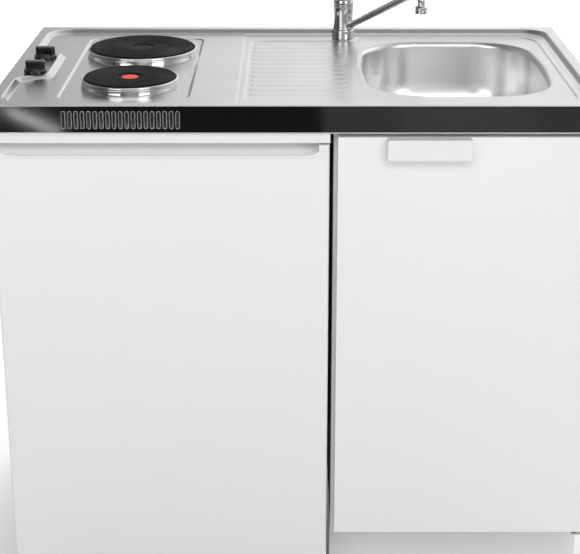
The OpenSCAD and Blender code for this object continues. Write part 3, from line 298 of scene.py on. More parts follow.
def rounded(profile, corners, count=4):
    # the same half section with some of its corners rounded: corners maps a point's number to its radius
    out = []
    for i, p in enumerate(profile):
        radius = corners.get(i, 0)
        if not radius:
            out.append(p)
            continue
        here, back, on = Vector(p), Vector(profile[i - 1]), Vector(profile[i + 1])
        a, b = (back - here).normalized(), (on - here).normalized()
        reach = radius / math.tan(a.angle(b) / 2)
        start, end = here + a * reach, here + b * reach
        for k in range(count + 1):
            t = k / count
            out.append(tuple((1 - t) ** 2 * start + 2 * t * (1 - t) * here + t ** 2 * end))
    return out


def copyNode(name, node):
    # the frame's own shape as a piece that can be worked on
    choose(frame["nodes"][node])
    bpy.ops.object.duplicate()
    piece = bpy.context.object
    bpy.ops.object.parent_clear(type="CLEAR_KEEP_TRANSFORM")
    piece.name = name
    setOrigin(piece)
    enterEdit()
    selectAll()
    bpy.ops.mesh.remove_doubles(threshold=5e-6)
    bpy.ops.mesh.dissolve_limited(angle_limit=math.radians(1))
    bpy.ops.mesh.normals_make_consistent(inside=False)
    leaveEdit()
    return piece


def soften(piece, width, segments=2, angle=40):
    applyModifier(piece, "BEVEL", width=width, segments=segments, limit_method="ANGLE",
                  angle_limit=math.radians(angle), use_clamp_overlap=True)
    weighted(piece, 60)
    return piece


def box(name, x0, x1, y0, y1, z0, z1):
    clearSelection()
    bpy.ops.mesh.primitive_cube_add(size=1, location=((x0 + x1) / 2, (y0 + y1) / 2, (z0 + z1) / 2))
    piece = bpy.context.object
    piece.name = name
    piece.scale = (x1 - x0, y1 - y0, z1 - z0)
    setOrigin(piece)
    return piece


# worktop: one pressed sheet with the bowl welded in

worktopForm = {
    "edgeRadius": 1.4 * mm, "apronHeight": 46 * mm, "cornerRadius": 3 * mm, "foldHeight": 1.5 * mm,
    "foldDepth": 17 * mm, "backLip": 20 * mm, "fasciaPocket": 2.2 * mm, "sheet": 1.2 * mm,
    "window": (114.9 * mm, 316.9 * mm, 6 * mm, 5 * mm),  # left, right, up from the fold, down from the rim
}
panForm = {"crest": 17 * mm, "grow": 4 * mm, "beadWidth": 10 * mm, "beadDrop": 8 * mm, "corner": 48 * mm,
           "tabTip": 71.5 * mm, "tabHalf": 112 * mm, "tabSlope": 31 * mm, "tabMiddle": 296 * mm,
           "tabRoot": 24 * mm, "tabCorner": 13 * mm}
# the recesses: their step's width and drop, and their edges from the sheet's middle and front
hobForm = {"step": 5 * mm, "drop": 2 * mm, "left": -398 * mm, "right": -178 * mm, "front": 72 * mm,
           "back": 533 * mm, "corner": 20 * mm, "dimplePlace": (-192 * mm, 238 * mm), "dimpleRadius": 11.5 * mm}
sinkForm = {"step": 4 * mm, "drop": 1 * mm, "left": -104 * mm, "inset": 28.5 * mm,
            "corners": (12 * mm, 40 * mm)}
drainerForm = {"step": 5 * mm, "drop": 2 * mm, "left": 592 * mm, "right": 40 * mm, "front": 60 * mm,
               "back": 520 * mm, "bowlBack": 552 * mm, "shoulder": (100 * mm, 116 * mm),
               "corners": [30 * mm, 33 * mm, 48 * mm, 9 * mm, 9 * mm, 30 * mm]}
# a rib's flank is given from its foot up, as (inwards, height) in mm
ribForm = {"count": 13, "pitch": 31.5 * mm, "width": 15 * mm, "length": 165 * mm, "front": 114 * mm,
           "left": 9 * mm,
           "flank": [(0.0, 0.0), (0.5, 0.05), (1.1, 0.18), (1.9, 0.38), (2.9, 0.54), (4.0, 0.6)]}
bowlForm = {"centre": (274 * mm, 311 * mm), "size": (322 * mm, 404 * mm), "depth": 150 * mm, "lip": 11 * mm,
            "foot": 72 * mm, "corner": 102 * mm, "belly": 14 * mm, "side": 700 * mm, "hold": 0.4 * mm,
            "draft": 0.05 * mm, "walls": 5, "waste": 30 * mm,
            "fall": [(8 * mm, -0.4 * mm), (8 * mm, -0.3 * mm), (6 * mm, -0.3 * mm), (1 * mm, 0)]}
panZ = rimZ - panForm["beadDrop"]
hobZ = panZ - hobForm["drop"]
sinkZ = panZ - sinkForm["drop"]
drainerZ = sinkZ - drainerForm["drop"]
bowlFloorZ = drainerZ - bowlForm["depth"]
bowlCentre = Vector((bowlForm["centre"][0], frontY + bowlForm["centre"][1]))
tapPlace = Vector((88 * mm, frontY + 546 * mm))
plates = {"rear": (-285 * mm, frontY + 396 * mm, 95 * mm), "front": (-285 * mm, frontY + 168 * mm, 77.5 * mm)}
knobs = {"rear": (-453 * mm, frontY + 332 * mm), "front": (-453 * mm, frontY + 222 * mm)}


def modelShell():
    form = worktopForm
    r = form["edgeRadius"]
    low = rimZ - form["apronHeight"]
    drawOutline("shell", boxPoints(leftX, rightX, frontY, backY), low, [form["cornerRadius"]] * 4, 4)
    extrude((0, 0, form["apronHeight"] - r))
    pick("FACE", lambda f: f.normal.z < -0.9)
    bpy.ops.mesh.delete(type="FACE")
    pick("FACE", lambda f: abs(f.normal.z) > 0.9)
    pressSteps(quarterRound(r, 4, False, 1) + [(0.5 * mm, 0)])
    bpy.ops.mesh.delete(type="FACE")

    # the front wall stands back behind the fascia, over the fold that closes it below
    def isWall(f):
        return f.normal.y < -0.99 and f.calc_center_median().z > low + 2 * mm

    selectAll()
    bpy.ops.mesh.bisect(plane_co=(0, 0, low + form["foldHeight"]), plane_no=(0, 0, 1))
    pick("FACE", isWall)
    extrude((0, form["fasciaPocket"], 0))
    # and has one window behind the fascia's slots
    left, right, up, down = form["window"]
    x0, x1, z0, z1 = leftX + left, leftX + right, low + up, rimZ - down
    for place, normal in (((x0, 0, 0), (1, 0, 0)), ((x1, 0, 0), (1, 0, 0)),
                          ((0, 0, z0), (0, 0, 1)), ((0, 0, z1), (0, 0, 1))):
        pick("FACE", isWall)
        bpy.ops.mesh.bisect(plane_co=place, plane_no=normal)
    pick("FACE", lambda f: isWall(f) and x0 < f.calc_center_median().x < x1
         and z0 < f.calc_center_median().z < z1)
    bpy.ops.mesh.delete(type="FACE")
    # the return fold runs back from its lower edge, and the back lip is shorter than the sides
    pick("EDGE", lambda e: middle(e).z < low + 1e-5 and middle(e).y < frontY + 1 * mm)
    extrudeEdges((0, form["foldDepth"], 0))
    selectAll()
    bpy.ops.mesh.bisect(plane_co=(0, 0, rimZ - form["backLip"]), plane_no=(0, 0, 1))
    pick("FACE", lambda f: f.normal.y > 0.99 and f.calc_center_median().z < rimZ - form["backLip"])
    bpy.ops.mesh.delete(type="FACE")
    leaveEdit()
    return bpy.context.object


def modelPan():
    # the pan's edge, with the notch that leaves the tab for the knobs
    form = panForm
    grow, inset = form["grow"], form["crest"]
    x0, x1, y0, y1 = leftX + inset, rightX - inset, frontY + inset, backY - inset
    middleY = frontY + form["tabMiddle"]
    tip = leftX + form["tabTip"] - grow
    wide, narrow = form["tabHalf"] - grow / 2, form["tabHalf"] - form["tabSlope"] - grow
    points = boxPoints(x0, x1, y0, y1) + [(x0, middleY + wide), (tip, middleY + narrow),
                                          (tip, middleY - narrow), (x0, middleY - wide)]
    root, corner = form["tabRoot"], form["tabCorner"]
    drawOutline("pan", points, rimZ, [form["corner"]] * 4 + [root, corner, corner, root], 10)
    pressSteps(softStep(form["beadWidth"], -form["beadDrop"], 8))
    return openFace()


def modelRecess(name, points, z, corners, form):
    drawOutline(name, points, z, corners, 8)
    pressSteps(softStep(form["step"], -form["drop"], 5))
    return openFace()


def modelRib(y):
    form = ribForm
    x0 = rightX - drainerForm["left"] + form["left"]
    half = form["width"] / 2
    drawOutline("rib", boxPoints(x0, x0 + form["length"], y - half, y + half), drainerZ, [half * 0.96] * 4, 8)
    pressSteps([((b[0] - a[0]) * mm, (b[1] - a[1]) * mm) for a, b in zip(form["flank"], form["flank"][1:])])
    leaveEdit()
    return bpy.context.object


def modelBowl():
    form = bowlForm
    lip, foot, belly, fall = form["lip"], form["foot"], form["belly"], form["fall"]
    halfX, halfY = form["size"][0] / 2 + lip, form["size"][1] / 2 + lip
    x0, x1 = bowlCentre.x - halfX, bowlCentre.x + halfX
    y0, y1 = bowlCentre.y - halfY, bowlCentre.y + halfY
    # its two sides belly out a little
    points = [(x0 + belly, y0), (x1 - belly, y0), (x1, bowlCentre.y),
              (x1 - belly, y1), (x0 + belly, y1), (x0, bowlCentre.y)]
    corner = form["corner"] + lip
    drawOutline("bowl", points, drainerZ, [corner, corner, form["side"]] * 2, 20)
    wall = (form["depth"] - lip - foot + sum(down for inward, down in fall)) / form["walls"]
    pressSteps([(form["hold"], 0)] + quarterRound(lip, 6, True) + [(form["draft"], -wall)] * form["walls"] +
               quarterRound(foot, 16, False))
    # the floor falls a little to the waste
    pressSteps(fall)
    return openFace()


def fillLevel(z):
    # close a flat of the sheet between all the open edges that lie in it
    pick("EDGE", lambda e: len(e.link_faces) < 2 and all(abs(v.co.z - z) < 2e-6 for v in e.verts))
    bpy.ops.mesh.fill(use_beauty=True)


def modelWorktop():
    hob, sink, drain = hobForm, sinkForm, drainerForm
    hobBox = boxPoints(hob["left"], hob["right"], frontY + hob["front"], frontY + hob["back"])
    inset = sink["inset"]
    sinkBox = boxPoints(sink["left"], rightX - inset, frontY + inset, backY - inset)
    small, large = sink["corners"]
    left, right = rightX - drain["left"], rightX - drain["right"]
    front, back, bowlBack = frontY + drain["front"], frontY + drain["back"], frontY + drain["bowlBack"]
    shoulder, rise = drain["shoulder"]
    drainerPoints = [(left, front), (right, front), (right, bowlBack), (rise, bowlBack), (shoulder, back),
                     (left, back)]
    parts = [modelShell(), modelPan(),
             modelRecess("hobRecess", hobBox, panZ, [hob["corner"]] * 4, hob),
             modelRecess("sinkPan", sinkBox, panZ, [small, large, large, small], sink),
             modelRecess("drainer", drainerPoints, sinkZ, drain["corners"], drain)]
    for i in range(ribForm["count"]):
        parts.append(modelRib(frontY + ribForm["front"] + i * ribForm["pitch"]))
    parts.append(modelBowl())
    # what is punched out: name, place, radius and the points round it
    holes = [("wasteHole", bowlCentre.x, bowlCentre.y, bowlFloorZ, bowlForm["waste"], 48)]
    holes += [("plateHole", x, y, hobZ, radius - 4 * mm, 64) for x, y, radius in plates.values()]
    holes += [("knobHole", x, y, rimZ, 6 * mm, 24) for x, y in knobs.values()]
    holes.append(("tapHole", tapPlace.x, tapPlace.y, sinkZ, 15 * mm, 48))
    for name, x, y, z, radius, count in holes:
        ring(name, x, y, z, radius, count=count)
        parts.append(openFace())
    # the small dimple beside the plates
    x, y = hob["dimplePlace"]
    ring("dimple", x, frontY + y, hobZ, hob["dimpleRadius"],
         [(1.5 * mm, -0.06 * mm), (2 * mm, -0.2 * mm), (2 * mm, -0.2 * mm), (2 * mm, -0.06 * mm)])
    leaveEdit()
    parts.append(bpy.context.object)
    sheet = join(parts, "worktopSheet")
    editPiece(sheet)
    for z in (rimZ, panZ, hobZ, sinkZ, drainerZ, bowlFloorZ):
        fillLevel(z)
    selectAll()
    bpy.ops.mesh.remove_doubles(threshold=2e-5)
    bpy.ops.mesh.normals_make_consistent(inside=False)
    shape = bmesh.from_edit_mesh(sheet.data)
    top = max(shape.faces, key=lambda f: f.calc_area() * (f.calc_center_median().z > panZ - 1e-4))
    if top.normal.z < 0:
        bpy.ops.mesh.flip_normals()
    leaveEdit()
    applyModifier(sheet, "SOLIDIFY", thickness=worktopForm["sheet"], offset=-1)
    weighted(sheet, 40)
    return sheet


worktopSheet = modelWorktop()
stageDone("worktop sheet, %d faces" % len(worktopSheet.data.polygons))

# finishes

def rgb(hexCode):
    # an sRGB hex code as the linear colour that the shader takes
    parts = [int(hexCode[i:i + 2], 16) / 255 for i in (1, 3, 5)]
    return [p / 12.92 if p <= 0.04045 else ((p + 0.055) / 1.055) ** 2.4 for p in parts] + [1.0]


def addNode(tree, kind, at=(0, 0), links=None, **settings):
    # one node: its settings, then what feeds its inputs (a value, or another node's output)
    node = tree.nodes.new(kind)
    node.location = at
    for key, value in settings.items():
        setattr(node, key, value)
    for key, value in (links or {}).items():
        if isinstance(value, bpy.types.NodeSocket):
            tree.links.new(value, node.inputs[key])
        else:
            node.inputs[key].default_value = value
    return node


def newMaterial(name, hexCode, rough, metal=0.0, **sockets):
    material = bpy.data.materials.new(name)
    material.use_nodes = True
    tree = material.node_tree
    shader = tree.nodes["Principled BSDF"]
    shader.inputs["Base Color"].default_value = rgb(hexCode)
    shader.inputs["Roughness"].default_value = rough
    shader.inputs["Metallic"].default_value = metal
    socketNames = {"coat": "Coat Weight", "coatRough": "Coat Roughness", "specular": "Specular IOR Level",
                   "ior": "IOR", "transmission": "Transmission Weight", "subsurface": "Subsurface Weight"}
    for key, value in sockets.items():
        shader.inputs[socketNames[key]].default_value = value
    return material, tree, shader


def objectPlace(tree, scale=(1, 1, 1), at=(-900, 0)):
    place = addNode(tree, "ShaderNodeTexCoord", (at[0] - 200, at[1]))
    return addNode(tree, "ShaderNodeMapping", at, {"Vector": place.outputs["Object"], "Scale": scale})


def driftingGloss(tree, shader, low, high, scale, detail=3.0):
    # lets the roughness drift between two limits over the surface
    place = objectPlace(tree, (1, 1, 1), (-900, -200))
    noise = addNode(tree, "ShaderNodeTexNoise", (-700, -200),
                    {"Vector": place.outputs["Vector"], "Scale": scale, "Detail": detail})
    span = addNode(tree, "ShaderNodeMapRange", (-450, -200),
                   {"Value": noise.outputs["Fac"], "From Min": 0.3, "From Max": 0.7, "To Min": low,
                    "To Max": high})
    tree.links.new(span.outputs["Result"], shader.inputs["Roughness"])


def raisedGrain(tree, shader, stretch, scale, detail, depth):
    # a fine relief: the noise's scale is one over its grain in metres, and the depth is in metres
    place = objectPlace(tree, stretch, (-900, -550))
    grain = addNode(tree, "ShaderNodeTexNoise", (-500, -550),
                    {"Vector": place.outputs["Vector"], "Scale": scale, "Detail": detail})
    bump = addNode(tree, "ShaderNodeBump", (-250, -500),
                   {"Height": grain.outputs["Fac"], "Distance": depth, "Strength": 1.0})
    tree.links.new(bump.outputs["Normal"], shader.inputs["Normal"])


def brushedSteel(name, hexCode, rough, spread, across=(1, 12, 12), depth=0.000002):
    # stainless steel, cold rolled and lightly brushed: long fine scratches and a slow drift of gloss
    material, tree, shader = newMaterial(name, hexCode, rough, 1.0)
    driftingGloss(tree, shader, rough - spread, rough + spread, 9.0, 2.0)
    raisedGrain(tree, shader, across, 60.0, 4.0, depth)
    return material


def mouldedPlastic(name, hexCode, rough, grit=1.2, depth=0.00003, **sockets):
    # injection moulded plastic: a fine spark-eroded texture, drawn coarse enough to show (grit is in mm)
    material, tree, shader = newMaterial(name, hexCode, rough, **sockets)
    driftingGloss(tree, shader, rough - 0.05, rough + 0.06, 12.0)
    raisedGrain(tree, shader, (1, 1, 1), 1.0 / (grit * mm), 2.0, depth)
    return material


def lacquered(name, hexCode, low, high, peel, depth, metal=0.0, **sockets):
    # a poured or baked coat: the slow waves of its orange peel, and a gloss that drifts between two limits
    material, tree, shader = newMaterial(name, hexCode, (low + high) / 2, metal, **sockets)
    driftingGloss(tree, shader, low, high, 14.0)
    raisedGrain(tree, shader, (1, 1, 1), 1.0 / peel, 1.0, depth)
    return material


def platedMetal(name, hexCode, second, rough, spangle):
    # plated or drawn metal: two close shades that drift over patches of one real size
    material, tree, shader = newMaterial(name, hexCode, rough, 1.0)
    place = objectPlace(tree, (1, 1, 1), (-900, 200))
    patches = addNode(tree, "ShaderNodeTexVoronoi", (-650, 200),
                      {"Vector": place.outputs["Vector"], "Scale": 1.0 / spangle})
    shades = addNode(tree, "ShaderNodeMix", (-300, 200), {"Factor": patches.outputs["Distance"]},
                     data_type="RGBA")
    shades.inputs["A"].default_value = rgb(hexCode)
    shades.inputs["B"].default_value = rgb(second)
    tree.links.new(shades.outputs["Result"], shader.inputs["Base Color"])
    driftingGloss(tree, shader, rough - 0.06, rough + 0.08, 30.0)
    return material


# the sheet's brushing runs along it, and the rims are turned bright
worktopSteel = brushedSteel("worktopSteel", "#C8C8C8", 0.31, 0.03)
rimSteel = brushedSteel("rimSteel", "#D8D8D6", 0.11, 0.02, (1, 1, 8), 0.000001)
# the bowl is deep drawn; its steel is a paler, evener copy of the sheet's, painted brighter to stand in for
# light inside the bowl's hollow
bowlSteelPaintedBright = brushedSteel("bowlSteelPaintedBright", "#F0F0F0", 0.31, 0.02, (6, 6, 2), 0.000001)
worktopSheet = dress(worktopSheet, "unit", worktopSteel, "worktop_steel", "worktop", "sink_bowl")
worktopSheet.data.materials.append(bowlSteelPaintedBright)
# the faces down in the bowl take the paler copy: painted light over the bowl's inside
for face in worktopSheet.data.polygons:
    inBowl = (face.center.xy - bowlCentre).length < 260 * mm and face.center.y > frontY + drainerForm["front"]
    if inBowl and face.center.z < drainerZ - 4 * mm:
        face.material_index = 1

# fascia: gloss black strip with the hob's cooling slots

fasciaForm = {"low": 850.7 * mm, "top": 893.4 * mm, "thick": 1.8 * mm, "gap": 0.2 * mm, "back": 0.3 * mm,
              "corner": 0.8 * mm, "slots": 19, "slotLeft": 125 * mm, "slotPitch": 10.1 * mm,
              "slotWidth": 5.2 * mm, "slotHeight": 28 * mm, "slotMiddle": 871 * mm, "lip": 0.7 * mm,
              "lipRise": 0.25 * mm}


def modelFascia():
    # drawn lying down, x by height, then stood up in front of the apron
    form = fasciaForm
    strip = boxPoints(leftX + form["gap"], rightX - form["gap"], form["low"], form["top"])
    drawOutline("fascia", strip, 0, [form["corner"]] * 4, 3)
    parts = [openFace()]
    halfX = form["slotWidth"] / 2 + form["lip"]
    halfZ = form["slotHeight"] / 2 + form["lip"]
    for i in range(form["slots"]):
        x = leftX + form["slotLeft"] + i * form["slotPitch"]
        slot = boxPoints(x - halfX, x + halfX, form["slotMiddle"] - halfZ, form["slotMiddle"] + halfZ)
        drawOutline("slot", slot, 0, [halfX * 0.98] * 4, 6)
        lip, rise = form["lip"] / 4, form["lipRise"]
        pressSteps([(lip, rise * 0.7), (lip, rise * 0.3), (lip, 0), (lip, -rise * 0.5)])
        parts.append(openFace())
    piece = join(parts, "fascia")
    editPiece(piece)
    fillLevel(0)
    selectAll()
    bpy.ops.mesh.remove_doubles(threshold=2e-6)
    bpy.ops.mesh.normals_make_consistent(inside=False)
    shape = bmesh.from_edit_mesh(piece.data)
    if max(shape.faces, key=lambda f: f.calc_area()).normal.z < 0:
        bpy.ops.mesh.flip_normals()
    leaveEdit()
    applyModifier(piece, "SOLIDIFY", thickness=form["thick"], offset=-1)
    editPiece(piece)
    selectAll()
    bpy.ops.transform.rotate(value=-math.pi / 2, orient_axis="X", center_override=(0, 0, 0))
    bpy.ops.transform.translate(value=(0, frontY + form["back"], 0))
    leaveEdit()
    weighted(piece, 40)
    return piece


fascia = modelFascia()
stageDone("fascia, %d faces" % len(fascia.data.polygons))
# black lacquer on steel strip, baked to a mirror with waves of about 8 mm
glossBlack = lacquered("glossBlack", "#050506", 0.05, 0.07, 8 * mm, 0.000002, specular=0.12)
fascia = dress(fascia, "unit", glossBlack, "fascia_black", "front_fascia")
# the lacquer is thin at the raised lips of the slots and stops at their cut edges
fascia.data.materials.append(rimSteel)
for face in fascia.data.polygons:
    atSlots = abs(face.center.z - fasciaForm["slotMiddle"]) < 15 * mm and face.center.x < 0
    if atSlots and abs(face.normal.y) < 0.99:
        face.material_index = 1


# hotplates: cast iron with turned rings, in a pressed steel rim

# the heights are down from the plate's face, and the places are in from its edge
hotplateForm = {"rise": 17.5 * mm, "thick": 15 * mm, "hollow": 23 * mm, "hollowDrop": 1.9 * mm,
                "groove": 0.25 * mm, "groovePitch": 3.1 * mm, "grooveEnd": 9 * mm, "step": 0.5 * mm,
                "skirt": 6 * mm, "web": 7.5 * mm}


def modelHotplate(name, x, y, radius):
    form = hotplateForm
    top = hobZ + form["rise"]
    hollow, low, bottom = form["hollow"], top - form["hollowDrop"], top - form["thick"]
    profile = [(0, low), (hollow - 5 * mm, low), (hollow - 1.6 * mm, top - 1.5 * mm), (hollow, top - 0.3 * mm),
               (hollow + 1.5 * mm, top)]
    # fine turned grooves over the working face
    r = hollow + 5 * mm
    while r < radius - form["grooveEnd"]:
        profile += [(r, top), (r + 0.5 * mm, top - form["groove"]), (r + 1.0 * mm, top)]
        r += form["groovePitch"]
    # then a turned step near the edge, a small round, and the hollow casting below
    step, inside, web = top - form["step"], radius - form["skirt"], top - form["web"]
    profile += [(radius - 5.2 * mm, top), (radius - 4.4 * mm, step), (radius - 3.4 * mm, step),
                (radius - 2.6 * mm, top), (radius - 1.4 * mm, top), (radius - 0.4 * mm, step),
                (radius, top - 1.5 * mm), (radius, bottom), (inside, bottom), (inside, web), (0, web)]
    return lathe(name, x, y, profile, 128, 40)


rimForm = {"drop": 2.0 * mm, "gap": 0.4 * mm, "bead": 1.9 * mm, "reach": 8 * mm, "seat": 0.05 * mm}


def modelRim(name, x, y, radius):
    # the rim: a rolled bead over the plate's edge, a groove, then a flare that seats on the hob
    form = rimForm
    top = hobZ + hotplateForm["rise"] - form["drop"]
    inner, bead, seat = radius + form["gap"], form["bead"], hobZ + form["seat"]
    outer, low = inner + 2 * bead, top - form["reach"]
    profile = [(inner, low), (inner, top - bead)]
    profile += [(inner + bead - bead * math.cos(math.pi * i / 8), top - bead + bead * math.sin(math.pi * i / 8))
                for i in range(1, 9)]
    profile += [(outer, top - 2.6 * mm), (outer - 0.7 * mm, top - 3.6 * mm), (outer - 0.9 * mm, top - 5.0 * mm),
                (outer - 0.6 * mm, top - 7.5 * mm), (outer + 0.1 * mm, top - 10.5 * mm),
                (outer + 0.9 * mm, hobZ + 1.1 * mm), (outer + 1.0 * mm, hobZ + 0.3 * mm),
                (outer + 0.9 * mm, seat), (outer - 1.2 * mm, seat), (inner + 0.9 * mm, low), (inner, low)]
    return lathe(name, x, y, profile, 128, 50)


# grey cast iron, turned and baked black: dull, with grains of about 0.8 mm, drawn at 1.5 mm
castIron = lacquered("castIron", "#0C0C0D", 0.5, 0.68, 1.5 * mm, 0.00002, specular=0.09)
for side, (x, y, radius) in plates.items():
    dress(modelHotplate(side + "Hotplate", x, y, radius), "unit", castIron, "cast_iron", side + "_hotplate")
    dress(modelRim(side + "Rim", x, y, radius), "unit", rimSteel, "ring_steel", side + "_hotplate_ring")

# the red dot of the rapid plate, a thin enamel disc in the hollow
markerForm = {"radius": 14 * mm, "thick": 0.35 * mm, "gap": 0.02 * mm}
frontX, frontPlateY = plates["front"][:2]
dotZ, dotRadius = hobZ + hotplateForm["rise"] - hotplateForm["hollowDrop"], markerForm["radius"]
dotTop, dotLow = dotZ + markerForm["thick"], dotZ + markerForm["gap"]
rapidDot = lathe("rapidDot", frontX, frontPlateY,
                 [(0, dotTop), (dotRadius - 1.4 * mm, dotTop), (dotRadius - 0.4 * mm, dotTop - 0.1 * mm),
                  (dotRadius, dotLow), (0, dotLow)], 64, 40)
# a dot of fired red enamel, dulled by heat
enamelRed = lacquered("enamelRed", "#E0452A", 0.4, 0.5, 2 * mm, 0.00001, specular=0.2)
dress(rapidDot, "unit", enamelRed, "marker_red", "rapid_marker")
stageDone("hob")

# knobs: black moulded skirts with a grip bar

knobForm = {"base": 0.5 * mm, "radius": 20 * mm, "skirt": 5 * mm, "crown": 3 * mm, "height": 20.5 * mm,
            "bar": 17 * mm, "barEnd": 17.5 * mm, "barCorner": 6.5 * mm, "barEdge": 1.5 * mm}
# phenolic resin, moulded in a polished tool
knobBlack = lacquered("knobBlack", "#08080A", 0.1, 0.18, 5 * mm, 0.000004, specular=0.7)


def modelKnob(name, x, y):
    form = knobForm
    z = rimZ + form["base"]
    r, top, half, end = form["radius"], z + form["height"], form["bar"] / 2, form["barEnd"]
    shoulder = z + form["skirt"]
    crown = shoulder + form["crown"]
    profile = [(0, z), (r - 0.6 * mm, z), (r, z + 0.8 * mm), (r, shoulder), (r - 5.5 * mm, crown), (0, crown)]
    skirt = lathe("skirt", x, y, rounded(profile, {3: 1.6 * mm, 4: 2 * mm}), 64, 40)
    # the bar is pinched a little towards its top and runs out over the skirt's edge
    corners = [form["barCorner"]] * 4
    bar = drawOutline("bar", boxPoints(x - end, x + end, y - half, y + half), z + 3 * mm, corners, 8)
    extrude((0, 0, top - z - 3 * mm))
    bpy.ops.transform.resize(value=(0.97, 0.86, 1), center_override=(x, y, top))
    leaveEdit()
    editPiece(bar)
    pick("EDGE", lambda e: min(v.co.z for v in e.verts) > top - 1e-5)
    bpy.ops.mesh.bevel(offset=form["barEdge"], segments=4, affect="EDGES")
    faceOutward()
    leaveEdit()
    piece = join([skirt, bar], name)
    smooth(piece, 35)
    return piece


for side, (x, y) in knobs.items():
    dress(modelKnob(side + "Knob", x, y), side + "_knob", knobBlack, "knob_black", side + "_knob")
stageDone("knobs")

# mixer tap: polished chrome

# the heights are over the sink pan's edge; the spout leaves the body at root and rises to its one bend
tapForm = {"baseRadius": 21.25 * mm, "baseHeight": 17 * mm, "baseBore": 15.1 * mm, "seat": 0.05 * mm,
           "bodyRadius": 19.15 * mm, "bodyBore": 15.2 * mm, "gap": 0.3 * mm, "joint": 64 * mm, "ball": 74 * mm,
           "spoutRadius": 6.6 * mm, "reach": 210 * mm, "rise": math.radians(26.5), "turn": math.radians(-50),
           "root": 17 * mm, "start": 14 * mm, "bend": 14 * mm, "drop": 6 * mm}
# brass, buffed and chromium plated: the buffing leaves long shallow waves
chrome = lacquered("tapChrome", "#D2D2D4", 0.02, 0.045, 14 * mm, 0.000006, 1.0)
tapX, tapY = tapPlace
ballZ = sinkZ + tapForm["ball"]

wide, bore = tapForm["baseRadius"], tapForm["baseBore"]
low, high = sinkZ + tapForm["seat"], sinkZ + tapForm["baseHeight"]
section = [(bore, low), (wide, low), (wide, high), (bore, high), (bore, low)]
tapBase = lathe("tapBase", tapX, tapY, rounded(section, {1: 0.8 * mm, 2: 2.4 * mm}, 6), 96, 40)
dress(tapBase, "unit", chrome, "tap_chrome", "tap_base")


def modelSpout():
    form = tapForm
    rise, radius, bend = form["rise"], form["spoutRadius"], form["bend"]
    low, high = sinkZ + form["baseHeight"] + form["gap"], sinkZ + form["joint"] - form["gap"]
    body, bore = form["bodyRadius"], form["bodyBore"]
    section = [(bore, low), (body, low), (body, high), (bore, high), (bore, low)]
    sleeve = lathe("sleeve", tapX, tapY, rounded(section, {1: 0.7 * mm, 2: 0.7 * mm}, 4), 96, 40)
    # the tube rises straight, then turns down in one bend; drawn along X and swung round afterwards
    root = sinkZ + form["root"]
    startX = form["reach"] - bend * (1 + math.sin(rise))
    bendZ = root + startX * math.tan(rise) - bend * math.cos(rise)
    clearSelection()
    bpy.ops.mesh.primitive_circle_add(vertices=40, radius=radius, location=(0, 0, 0))
    tube = bpy.context.object
    enterEdit()
    selectAll()
    bpy.ops.transform.rotate(value=rise - math.pi / 2, orient_axis="Y", center_override=(0, 0, 0))
    start = form["start"]
    bpy.ops.transform.translate(value=(start * math.cos(rise), 0, root + start * math.sin(rise)))
    along = startX / math.cos(rise) - start
    move = (along * math.cos(rise), 0, along * math.sin(rise))
    extrudeEdges(move)
    bpy.ops.mesh.spin(steps=16, angle=math.pi / 2 + rise, center=(form["reach"] - bend, 0, bendZ),
                      axis=(0, -1, 0))
    extrudeEdges((0, 0, -form["drop"]))
    pick("EDGE", lambda e: e.is_boundary)
    bpy.ops.mesh.edge_face_add()
    selectAll()
    bpy.ops.mesh.normals_make_consistent(inside=False)
    bpy.ops.transform.rotate(value=-form["turn"], orient_axis="Z", center_override=(0, 0, 0))
    bpy.ops.transform.translate(value=(tapX, tapY, 0))
    leaveEdit()
    piece = join([sleeve, tube], "tapSpout")
    smooth(piece, 40)
    return piece, bendZ - form["drop"]


tapSpout, spoutTip = modelSpout()
dress(tapSpout, "tap_spout", chrome, "tap_chrome", "tap_spout")


aeratorForm = {"radius": 11 * mm, "length": 14 * mm, "wall": 2 * mm, "gap": 0.02 * mm}


def modelAerator():
    form = aeratorForm
    reach, turn = tapForm["reach"], tapForm["turn"]
    top, low = spoutTip, spoutTip - form["length"]
    r, inside = form["radius"], form["radius"] - form["wall"]
    profile = [(0, top - form["gap"]), (r - 2.6 * mm, top - form["gap"]), (r, top - 3 * mm), (r, low),
               (r - 1.4 * mm, low), (inside, low + 0.6 * mm), (inside, low + 6 * mm), (0, low + 5 * mm)]
    return lathe("tapAerator", tapX + reach * math.cos(turn), tapY + reach * math.sin(turn),
                 rounded(profile, {1: 1.4 * mm, 2: 1.2 * mm, 3: 0.8 * mm}, 4), 64, 35)


dress(modelAerator(), "tap_spout", chrome, "tap_chrome", "tap_aerator")

domeForm = {"bore": 13.5 * mm, "gap": 0.1 * mm, "under": 0.65 * mm}


def modelDome():
    # fixed on the joint, under the lever's cap
    body, bore, jointZ = tapForm["bodyRadius"], domeForm["bore"], sinkZ + tapForm["joint"]
    low, radius = jointZ + domeForm["gap"], body - domeForm["under"]
    profile = [(bore, low), (body - 0.6 * mm, low), (body, jointZ + 0.7 * mm), (body, ballZ - 0.8 * mm),
               (body - 0.5 * mm, ballZ)]
    profile += [(radius * math.sin(a), ballZ + radius * math.cos(a))
                for a in [math.radians(90 - i * 5) for i in range(11)]]
    crownX, crownZ = profile[-1]
    profile += [(crownX - 2 * mm, crownZ - 1 * mm), (15.5 * mm, ballZ - 1 * mm), (bore, low)]
    return lathe("tapDome", tapX, tapY, profile, 96, 35)


dress(modelDome(), "unit", chrome, "tap_chrome", "tap_dome")

leverForm = {"cap": 22 * mm, "wall": 2.4 * mm, "width": 18 * mm, "taper": 2 * mm, "length": 95 * mm,
             "thick": 6 * mm, "top": 19 * mm, "root": 10 * mm, "slope": 4.5 * mm, "edge": 1.3 * mm,
             "tip": math.radians(10)}


